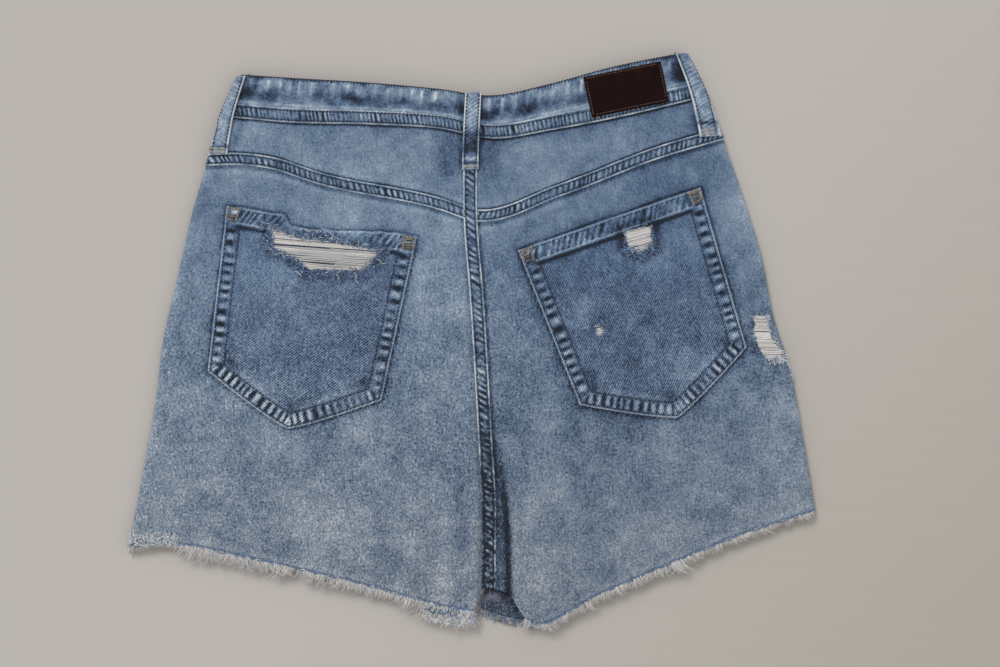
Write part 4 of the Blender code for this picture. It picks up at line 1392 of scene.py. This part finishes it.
def make_front_loops():
    for which, sign in SIGN.items():
        x = BAND_MIDDLE + sign * FRONT_LOOP_PLACE
        top = float(front_top(x)) + FRONT_LOOP_SPAN[0]
        foot = float(front_seam(x)) - FRONT_LOOP_SPAN[1]
        y = np.linspace(top, foot, 56)[:, None] + np.zeros((1, 15))
        w = np.linspace(-1, 1, 15)[None, :] + 0 * y
        across = x + w * LOOP_WIDTH / 2
        high = floor_height(across, y) - GAP
        groove = bump(np.abs(w) - 0.7, 0.1)
        low = np.maximum(high - LOOP_THICK, 0.0) + 0.35 * bump(np.abs(w) - 1, 0.12) + 0.1 * groove
        tone = 0.58 + 0.2 * bump(np.abs(w) - 0.97, 0.14) - 0.2 * groove
        tone = tone + 0.1 * noise(across, y, 4, 96)
        outer = np.stack((across, y, low), axis=-1)
        inner = np.stack((across, y, high), axis=-1)
        piece = shell(f"loop_front_{which}_cloth", outer, inner, tone, np.stack((across, y), -1), DENIM)
        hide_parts(f"loop_front_{which}")


def make_patch():
    turn = math.radians(PATCH_TURN)

    def at(u, v):
        x = PATCH_PLACE[0] + u * math.cos(turn) - v * math.sin(turn)
        y = PATCH_PLACE[1] + u * math.sin(turn) + v * math.cos(turn)
        return x, y

    u = np.linspace(-0.5, 0.5, 68)[None, :] * PATCH_SIZE[0]
    v = np.linspace(0.5, -0.5, 37)[:, None] * PATCH_SIZE[1]
    x, y = at(u, v)
    inset = np.minimum(PATCH_SIZE[0] / 2 - np.abs(u), PATCH_SIZE[1] / 2 - np.abs(v))
    relief = 0.10 * noise(x, y, 9, 97) + 0.05 * noise(x, y, 2.5, 98)
    relief = relief - 0.55 * bump(inset, 0.7) - 0.25 * bump(inset - 1.7, 0.7)
    tone = 0.5 + 0.10 * noise(x, y, 8, 99) + 0.25 * bump(inset, 0.6) - 0.10 * bump(inset - 1.7, 0.6)
    outer = lay(x, y, BAND_PROUD + GAP + LEATHER + relief)
    inner = lay(x, y, BAND_PROUD + GAP)
    piece = shell("patch_leather", outer, inner, tone, np.stack((x, y), -1), LEATHER_LOOK)
    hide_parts("patch")
    half = np.array(PATCH_SIZE) / 2 - 1.7
    corners = [(-half[0], half[1]), (half[0], half[1]), (half[0], -half[1]), (-half[0], -half[1])]
    for start, end in zip(corners, corners[1:] + corners[:1]):
        line, _ = densely((start, end), 1.0)
        face = lay(*at(line[:, 0], line[:, 1]), BAND_PROUD + GAP + LEATHER - 0.25)
        stitch_row(face, "brown", 2.5, 0.75)


# ================================================================ front layer
def front_cut(x):
    """Top edge of the front's panels, below its waistband."""
    return front_seam(x) - GAP / 2


def front_side(which):
    """The front's outseam, and its top corner."""
    sign = SIGN[which]
    edge = shifted(side[which], -sign * (FOLD + FRONT_INSET))
    return edge, meet(front_cut, edge, (sign * 185, 189))


def front_outer_edge(which):
    """The scooped pocket opening, then the outseam down to the hem."""
    sign = SIGN[which]
    edge, corner = front_side(which)
    angles = np.radians(np.linspace(0, 90, 26))
    heights = corner[1] - SCOOP[1] * np.sin(angles)
    scoop = np.stack((edge(heights) - sign * SCOOP[0] * np.cos(angles), heights), axis=1)
    scoop[0, 1] = float(front_cut(scoop[0, 0]))
    foot = meet(front_hem(which), edge, (sign * 270, -147))
    below = np.linspace(heights[-1], foot[1], 76)[1:]
    return np.concatenate((scoop, np.stack((edge(below), below), axis=1))), scoop


def front_hem(which):
    shorter = shifted(hem[which], FRONT_HEM_SHORTER)
    if which == "left":
        return shorter
    inner = polyline(FRONT_HEM_INNER)
    join = FRONT_HEM_INNER[-1][0]
    return lambda x: np.where(np.asarray(x, float) < join, inner(x), shorter(x))


def under_front(plan):
    """Points of a stitch row on the front layer's outer face."""
    x, y = plan[:, 0], plan[:, 1]
    return np.stack((x, y, floor_height(x, y) - 0.05), axis=1)


def front_shell(name, plan, above, level, seed):
    """Cloth of the front layer, whose outer face is underneath."""
    x, y = plan[..., 0], plan[..., 1]
    low = floor_height(x, y) + above
    tone = level + wash_and_shade(x + 400 + seed, y)
    if name == "front_right":
        # painted shade on the front piece between the legs, deepest at its top under the back's crotch and
        # towards its right
        tone = tone - 0.32 * ramp(-175, -190, y) * (1 + 0.5 * ramp(10, 24, x)) - 0.30 * bump(y + 199, 4.5)
        tone = tone + 0.30 * noise(x, y, 3.2, 84) * ramp(-190, -200, y)
    outer = np.stack((x, y, low), axis=-1)
    inner = np.stack((x, y, low + CLOTH), axis=-1)
    piece = shell(f"{name}_cloth", outer, inner, tone, plan, DENIM)
    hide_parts(name)


def make_fronts():
    for which, leg in (("left", FRONT_LEG_LEFT), ("right", FRONT_LEG_RIGHT)):
        outer, scoop = front_outer_edge(which)
        rows = (outer[0, 1] - outer[:, 1]) / (outer[0, 1] - outer[-1, 1])
        columns = shares(240, FRONT_STEP)
        inner_curve = inner_edge(which, leg)
        start = meet(front_cut, inner_curve, (8, 160))
        end = meet(front_hem(which), inner_curve, leg[-1][::-1])
        plan = coons(
            run_across(front_cut, start, outer[0], columns),
            run_across(front_hem(which), end, outer[-1], columns),
            run_down(inner_curve, start, end, rows),
            outer,
            columns,
            rows,
        )
        front_shell(f"front_{which}", plan, 0.0, 0.52, 0)
        path, _ = densely(scoop, 1.0)
        for inset in (2.5, 8.5):
            rail = path + SIGN[which] * beside(path) * -inset
            stitch_row(under_front(rail))


def lining(inner, outer, count, rows):
    """Plan points of a piece behind the front's top edge, between its two side edges."""
    columns = np.linspace(0, 1, count)
    top = run_across(front_cut, inner[0], outer[0], columns)
    foot = inner[-1] + (outer[-1] - inner[-1]) * columns[:, None]
    return coons(top, foot, inner, outer, columns, rows)


def make_facings():
    for which, sign in SIGN.items():
        edge, corner = front_side(which)
        rows = np.linspace(0, 1, 30)
        heights = corner[1] - (SCOOP[1] + FACING_REACH) * rows
        outer = np.stack((edge(heights), heights), axis=1)
        outer[0] = corner
        width = (SCOOP[0] + FACING_REACH) * (1 - 0.55 * rows ** 1.6)
        inner = outer - np.stack((sign * width, 0 * width), axis=1)
        inner[0, 1] = float(front_cut(inner[0, 0]))
        plan = lining(inner, outer, 30, rows)
        front_shell(f"pocket_facing_{which}", plan, CLOTH + LAYER_GAP, 0.50, 60)


def make_fly():
    rows = np.linspace(0, 1, 44)
    top = float(front_cut(float(centre_seam(155))))
    heights = top - FLY_LENGTH * rows
    width = FLY_WIDTH * np.sqrt(1 - np.clip((rows - 0.68) / 0.34, 0, 1) ** 2)
    inner = np.stack((centre_seam(heights) + 4, heights), axis=1)
    outer = np.stack((centre_seam(heights) - width, heights), axis=1)
    inner[0, 1] = float(front_cut(inner[0, 0]))
    outer[0, 1] = float(front_cut(outer[0, 0]))
    plan = lining(inner, outer, 14, rows)
    front_shell("fly", plan, CLOTH + LAYER_GAP, 0.48, 90)
    for inset in (3.0, 9.0):
        rail = outer + np.stack((np.full(len(outer), inset), np.zeros(len(outer))), axis=1)
        rail = rail[rail[:, 0] < inner[:, 0] - 2]
        stitch_row(under_front(rail))


def make_button():
    """A shank button: a domed disc with a raised rim, turned about its middle."""
    x = BAND_MIDDLE
    y = (float(front_top(x)) + float(front_seam(x))) / 2
    profile = (
        (0.0, 0.45), (2.6, 0.35), (5.4, 0.40), (6.4, 0.15), (7.4, 0.0), (8.2, 0.30),
        (BUTTON_RADIUS, 0.9), (8.0, 1.5), (5.0, 1.8), (3.0, BUTTON_THICK), (0.0, BUTTON_THICK),
    )
    turns = np.radians(np.linspace(0, 360, 49))[:-1]
    rings = np.array(
        [[(x + radius * math.cos(t), y + radius * math.sin(t), z) for t in turns] for radius, z in profile]
    )
    index = np.arange(len(profile) * len(turns)).reshape(len(profile), len(turns))
    ahead = np.roll(index, -1, axis=1)
    faces = np.stack((index[:-1], ahead[:-1], ahead[1:], index[1:]), axis=-1).reshape(-1, 4)
    piece = add_mesh("button_shank", rings.reshape(-1, 3), faces, METAL)
    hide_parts("button")


# ================================================================ rips and fringes
def row_span(outline, level, tilt):
    """Where a slightly tilted thread enters and leaves an outline."""
    x = np.linspace(min(p[0] for p in outline), max(p[0] for p in outline), 240)
    y = level + tilt * (x - x.mean())
    inside = within(np.stack((x, y), axis=-1), outline)
    if inside.sum() < 4:
        return None
    return x[inside][0], x[inside][-1], x.mean()


def weft(name, lift, tilt, pitch, gaps, over, reach_down, seed):
    """A layer of the pale weft threads left across a rip, with some missing lower down."""
    outline = RIPS[name]
    rng = np.random.default_rng(seed)
    low, high = min(p[1] for p in outline) - 3, max(p[1] for p in outline) + 3
    t = np.linspace(0, 1, 10)
    paths, tones = [], []
    for level in np.arange(high, low, -pitch):
        span = row_span(outline, level, tilt)
        if span is None:
            continue
        start, end, middle = span
        depth = (high - level) / (high - low)
        if depth > reach_down:
            break
        if rng.random() < gaps * ramp(0.38, 0.5, depth):
            start = start + (end - start) * rng.uniform(0.3, 0.85)
        x = start - over + (end - start + 2 * over) * t
        y = level + tilt * (x - middle) + 0.25 * rng.normal() + 0.35 * rng.normal() * np.sin(math.pi * t)
        sag = lift - 0.35 * np.sin(math.pi * t) * rng.random() + 0.15 * rng.normal()
        paths.append(lay(x, y, sag))
        tones.append(rng.uniform(0.4, 1.0) - 0.5 * gaps * ramp(0.4, 0.7, depth))
    return paths, tones


CURL_TAPER = (1, 1, 1, 0.95, 0.8, 0.5)         # how a curl and a fringe strand thin towards their ends
HEM_TAPER = (1, 1, 0.95, 0.85, 0.7, 0.45)


def fuzz(edge, centre, count, lift, length, depth, seed):
    """Curly ends of broken yarn, over a strip of the given depth outside an edge."""
    rng = np.random.default_rng(seed)
    path, _ = densely(edge, 0.5)
    t = np.linspace(0, 1, len(CURL_TAPER))
    paths, tones = [], []
    for _ in range(count):
        root = path[rng.integers(len(path))]
        away = root - np.array(centre)
        away = away / np.linalg.norm(away)
        heading = math.atan2(away[1], away[0]) + rng.normal() * 1.1
        root = root + away * depth * rng.uniform(-0.12, 1.0)
        angle = heading + rng.normal() * 2.4 * t
        size = length * rng.uniform(0.4, 1.2)
        x = root[0] + np.cumsum(np.cos(angle)) * size / len(t)
        y = root[1] + np.cumsum(np.sin(angle)) * size / len(t)
        paths.append(lay(x, y, lift + 0.25 + 1.0 * rng.random() * np.sin(math.pi * t)))
        tones.append(rng.uniform(0.0, 1.0))
    return paths, tones


WEFT = (
    # rip, lift, tilt, pitch, gaps, reach past the edges, share of the depth it reaches down to
    ("pocket_left", 1.25, -0.12, 0.60, 0.30, 1.8, 1.0),
    ("pocket_left", 0.80, -0.12, 0.55, 0.0, 1.8, 0.47),
    ("pocket_left", 0.80, -0.12, 0.95, 0.25, 1.8, 1.0),
    ("pocket_right", 1.25, 0.22, 0.50, 0.1, 1.2, 1.0),
    ("pocket_right", 0.80, 0.22, 0.55, 0.0, 1.2, 1.0),
    ("pocket_right_small", 1.30, 0.25, 0.50, 0.0, 1.0, 1.0),
    ("side", -0.25, -0.06, 0.50, 0.0, 0.6, 1.0),
    ("side", -0.75, -0.10, 0.50, 0.0, 0.6, 1.0),
)
LOOSE_ENDS = (
    # pale threads hanging over the left pocket's rip, as across and height places
    ((-115.0, 97.5), (-110.0, 95.0), (-104.0, 90.0), (-98.5, 85.5)),
    ((-133.0, 96.5), (-129.5, 98.5), (-126.0, 95.5), (-122.0, 96.5)),
    ((-146.0, 82.0), (-147.5, 79.5), (-146.5, 77.5), (-145.0, 75.0)),
    ((-139.0, 63.5), (-136.5, 64.5), (-134.5, 62.5), (-132.0, 59.5)),
    ((-90.5, 61.5), (-88.5, 58.5), (-89.5, 55.5), (-87.0, 52.0)),
    ((-103.0, 62.5), (-104.5, 60.0), (-102.5, 57.5), (-103.5, 55.0)),
    ((-72.0, 71.0), (-69.0, 70.0), (-68.0, 67.5), (-65.5, 67.0)),
)


def make_rips():
    cream, cream_tone = [], []
    for index, layer in enumerate(WEFT):
        paths, tones = weft(*layer, 200 + index)
        cream += paths
        cream_tone += tones
    taper = (0.8,) + (1,) * 8 + (0.8,)
    strands("weft_threads", cream, WEFT_RADIUS, CREAM_YARN, cream_tone, taper)
    left, right, small, torn_side = RIPS.values()
    middles = {name: np.mean(points, axis=0) for name, points in RIPS.items()}
    face = CLOTH + GAP
    jobs = (
        # edge, rip, count, lift, length, depth, yarn
        (left[4:] + left[:1], "pocket_left", 620, face, 4.0, 9.0, "blue"),
        (left[4:] + left[:1], "pocket_left", 26, face + 0.3, 4.0, 7.0, "cream"),
        (left[:5], "pocket_left", 150, face + 0.7, 4.5, 7.0, "blue"),
        (left[:5], "pocket_left", 40, face + 0.8, 5.0, 6.0, "cream"),
        (right + right[:1], "pocket_right", 60, face, 3.2, 2.0, "blue"),
        (right[2:], "pocket_right", 230, face, 4.0, 7.0, "blue"),
        (right[2:], "pocket_right", 10, face + 0.2, 3.5, 3.0, "cream"),
        (small + small[:1], "pocket_right_small", 20, face, 2.0, 1.2, "blue"),
        (torn_side[3:] + torn_side[:1], "side", 60, 0.1, 3.0, 2.5, "blue"),
        (torn_side[3:6], "side", 60, 0.1, 4.0, 3.5, "cream"),
        (torn_side[1:4], "side", 34, 0.1, 3.0, 1.5, "cream"),
        (SIDE_TAIL, "side", 46, 0.2, 3.5, 2.5, "cream"),
    )
    tangles = [
        Tangle(edge, middles[rip], *rest, 301 + index) for index, (edge, rip, *rest) in enumerate(jobs)
    ]
    curls = {"blue": ([], []), "cream": ([], [])}
    for tangle in (*tangles, *TANGLES):
        paths, tones = fuzz(*tangle[:6], tangle.seed)
        curls[tangle.yarn][0].extend(paths)
        curls[tangle.yarn][1].extend(tones)
    for kind, radius, material in (("blue", FRINGE_RADIUS, BLUE_YARN), ("cream", 0.24, PALE_YARN)):
        paths, tones = curls[kind]
        strands(f"rip_fuzz_{kind}", paths, radius, material, tones, CURL_TAPER)
    loose = []
    for points in LOOSE_ENDS:
        line, _ = densely(points, 0.6)
        bend = np.linspace(0, len(line) - 1, 12)
        x = np.interp(bend, np.arange(len(line)), line[:, 0])
        y = np.interp(bend, np.arange(len(line)), line[:, 1])
        loose.append(lay(x, y, face + 1.0))
    strands("loose_threads", loose, 0.25, PALE_YARN, 0.45, (0.7,) + (1,) * 10 + (0.5,))


TUFTS = (
    # across, half width and how many times longer the fringe is there
    (-148.5, 4.5, 0.15),
    (-120, 2.5, 1.25),
    (-60, 4, 1.2),
    (-30, 9, 1.25),
    (-16, 2, 1.5),
    (124, 1.2, 1.7),
    (146, 2.5, 1.6),
    (156, 5, 1.5),
    (169, 1.0, 2.1),
    (196, 5, 0.6),
)


def hem_strands(which, curve, lie, spacing, long, seed, start, end):
    """Frayed warp ends hanging from a cut edge, in loose clumps."""
    rng = np.random.default_rng(seed)
    x = np.arange(start, end, spacing)
    x = x + rng.normal(0, spacing * 0.5, len(x))
    steps = np.linspace(0, 1, len(HEM_TAPER))[None, :]
    reach_here = np.maximum(reach[which](x), 3)
    for across, half, factor in TUFTS:
        reach_here = reach_here * (1 + (factor - 1) * bump(x - across, half))
    clump = 0.82 + 0.28 * noise(x, 0, 7, seed + 1) + 0.18 * noise(x, 0, 2.6, seed + 2)
    length = reach_here * long * clump * rng.uniform(0.65, 1.0, len(x))
    lean = 0.45 * noise(x, 5, 9, seed + 3) + 0.25 * noise(x, 5, 3, seed + 4)
    slope = (curve(x + 1) - curve(x - 1)) / 2
    lean = lean + rng.normal(0, 0.13, len(x)) + slope * 0.7
    curl = rng.normal(0, 0.45, len(x))
    root, droop = rng.uniform(-0.9, 0.35, len(x)), rng.uniform(0.5, 2.6, len(x))
    length, lean, curl, root, droop = (each[:, None] for each in (length, lean, curl, root, droop))
    across = x[:, None] + length * (lean * steps + curl * steps ** 2)
    down = curve(x)[:, None] + 1.0 - (length + 1.0) * steps * (1 - 0.18 * np.abs(curl) * steps)
    rise = root - droop * steps ** 1.6
    return lie(across, down, rise), rng.uniform(0.25, 1.0, len(x))


def cut_edge(curve, seed, start, end):
    """Paths of the short blue threads left lying along the cut."""
    rng = np.random.default_rng(seed)
    paths = []
    for up, pitch in ((0.1, 5.0), (0.9, 9.0)):
        for first in np.arange(start, end, pitch):
            x = first + np.linspace(0, pitch * rng.uniform(0.5, 1.15), 8)
            y = curve(x) + up + 0.6 * noise(x, up, 4.5, seed) + 0.2 * rng.normal()
            paths.append(lay(x, y, 0.25))
    return paths


def make_fringes():
    spans = {"left": (-288, -6.5), "right": (33.5, 278)}
    for which, (start, end) in spans.items():
        seed = 400 if which == "left" else 450
        cut = hem[which]
        long_paths, long_tone = hem_strands(which, cut, lay, 0.33, 1.0, seed, start, end)
        short_paths, short_tone = hem_strands(which, cut, lay, 0.35, 0.68, seed + 10, start, end)
        piece = strands(
            f"fringe_{which}_yarn",
            np.concatenate((long_paths, short_paths)),
            FRINGE_RADIUS,
            CREAM_YARN,
            np.concatenate((long_tone, short_tone)),
            HEM_TAPER,
        )
        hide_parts(f"fringe_{which}")
        above = shifted(cut, 1.0)
        blue_paths, blue_tone = hem_strands(which, above, lay, 0.62, 0.44, seed + 20, start, end)
        name = f"fringe_{which}_blue"
        strands(name, blue_paths, BLUE_RADIUS, BLUE_YARN, blue_tone, HEM_TAPER)
        edge_paths = cut_edge(cut, seed + 30, start + 4, end - 8)
        strands(f"cut_edge_{which}", edge_paths, EDGE_RADIUS, HEM_YARN)


def make_front_fringe():
    curve = front_hem("right")

    def lie(x, y, rise):
        return np.stack((x, y, np.maximum(floor_height(x, y) + 0.9 + 0.4 * rise, 0.3)), axis=-1)

    paths, tone = hem_strands("right", curve, lie, 0.4, 0.8, 480, FRONT_HEM_INNER[0][0] + 1, 44)
    piece = strands("fringe_front_yarn", paths, FRINGE_RADIUS, CREAM_YARN, tone, HEM_TAPER)
    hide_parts("fringe_front")
    paths, tone = [], []
    for count, depth, seed in ((210, -13, 490), (120, 6, 491)):
        curls, shades = fuzz(FRONT_HEM_INNER, (12, -120), count, 0, 3.6, depth, seed)
        paths += curls
        tone += shades
    paths = np.array(paths)
    paths[..., 2] -= back_height(paths[..., 0], paths[..., 1]) - CLOTH
    strands("fringe_front_blue", paths, BLUE_RADIUS, BLUE_YARN, tone, CURL_TAPER)


# ================================================================ what each cloth piece was cut from
Cut = namedtuple("Cut", "width length area rests extras")
UNDER_LEFT = ("front_left_cloth",)
UNDER_RIGHT = ("front_right_cloth",)
UNDER_LOOPS = ("waistband_cloth",)
UNDER_BAND = ("loop_front_left_cloth", "loop_front_right_cloth")
CUTS = {
    "back_left_cloth": Cut(0.295, 0.375, 0.0853, UNDER_LEFT, ("seam_yoke_left", "fringe_left_yarn")),
    "back_right_cloth": Cut(0.285, 0.385, 0.0812, UNDER_RIGHT, ("seam_yoke_right", "fringe_right_yarn")),
    "yoke_left_cloth": Cut(0.215, 0.075, 0.0089, UNDER_LEFT, ()),
    "yoke_right_cloth": Cut(0.215, 0.075, 0.0082, UNDER_RIGHT, ()),
    "waistband_cloth": Cut(0.800, 0.040, 0.0294, UNDER_BAND, ("patch_leather",)),
    "pocket_left_cloth": Cut(0.156, 0.170, 0.0208, ("back_left_cloth",), ("weft_threads",)),
    "pocket_right_cloth": Cut(0.156, 0.170, 0.0224, ("back_right_cloth",), ()),
    "front_left_cloth": Cut(0.270, 0.400, 0.0850, (), ()),
    "front_right_cloth": Cut(0.270, 0.400, 0.0835, (), ()),
    "pocket_facing_left_cloth": Cut(0.100, 0.100, 0.0071, UNDER_LEFT, ()),
    "pocket_facing_right_cloth": Cut(0.100, 0.100, 0.0075, UNDER_RIGHT, ()),
    "fly_cloth": Cut(0.042, 0.142, 0.0057, UNDER_LEFT, ()),
    "loop_back_cloth": Cut(0.0141, 0.067, 0.00093, UNDER_LOOPS, ()),
    "loop_left_cloth": Cut(0.0160, 0.068, 0.00107, UNDER_LOOPS, ()),
    "loop_right_cloth": Cut(0.0190, 0.070, 0.00129, UNDER_LOOPS, ()),
    "loop_front_left_cloth": Cut(0.0146, 0.049, 0.00071, (), ()),
    "loop_front_right_cloth": Cut(0.0165, 0.049, 0.00080, (), ()),
}


def declare_sheets():
    for name, cut in CUTS.items():
        list(cut.rests)
        [made[extra] for extra in cut.extras]


# ================================================================ stage
CAMERA_PLACE = (0.0301, 0.0128, 1.121)
CAMERA_TURN = -2.6
LENS = 50
SENSOR = 36
FLOOR_SIZE = 8
FLOOR_PLACE = (0, 0, -0.0003)
ROOM_COLOUR = (1.0, 0.99, 0.98, 1.0)
ROOM_STRENGTH = 0.55
Sun = namedtuple("Sun", "name turn strength spread")
SUNS = (Sun("window", (-38, -24, 0), 1.55, 24), Sun("fill", (18, 40, 0), 0.35, 60))


def make_stage():
    bpy.ops.mesh.primitive_plane_add(size=FLOOR_SIZE, location=FLOOR_PLACE)
    floor = bpy.context.object
    floor.name = "floor"
    floor.data.materials.append(floor_material())


def make_lights():
    scene = bpy.context.scene
    scene.view_settings.view_transform = "Standard"
    world = bpy.data.worlds.new("room")
    world.use_nodes = True
    background = world.node_tree.nodes["Background"]
    background.inputs[0].default_value = ROOM_COLOUR
    background.inputs[1].default_value = ROOM_STRENGTH
    scene.world = world
    for sun in SUNS:
        light = bpy.data.lights.new(sun.name, "SUN")
        light.energy = sun.strength
        light.angle = math.radians(sun.spread)
        lamp = bpy.data.objects.new(sun.name, light)
        lamp.rotation_euler = [math.radians(v) for v in sun.turn]
        scene.collection.objects.link(lamp)


def make_camera():
    camera = bpy.data.objects.new("camera", bpy.data.cameras.new("camera"))
    camera.data.lens = LENS
    camera.data.sensor_width = SENSOR
    camera.location = CAMERA_PLACE
    camera.rotation_euler = (0, 0, math.radians(CAMERA_TURN))
    bpy.context.scene.collection.objects.link(camera)
    bpy.context.scene.camera = camera


make_camera()
make_lights()
make_stage()
make_fronts()
make_facings()
make_fly()
make_button()
make_front_loops()
make_backs()
make_yokes()
make_waistband()
make_pockets()
make_yoke_bands()
make_centre_band()
make_back_loop()
make_side_loops()
make_patch()
make_rips()
make_fringes()
make_front_fringe()
sew()
declare_sheets()
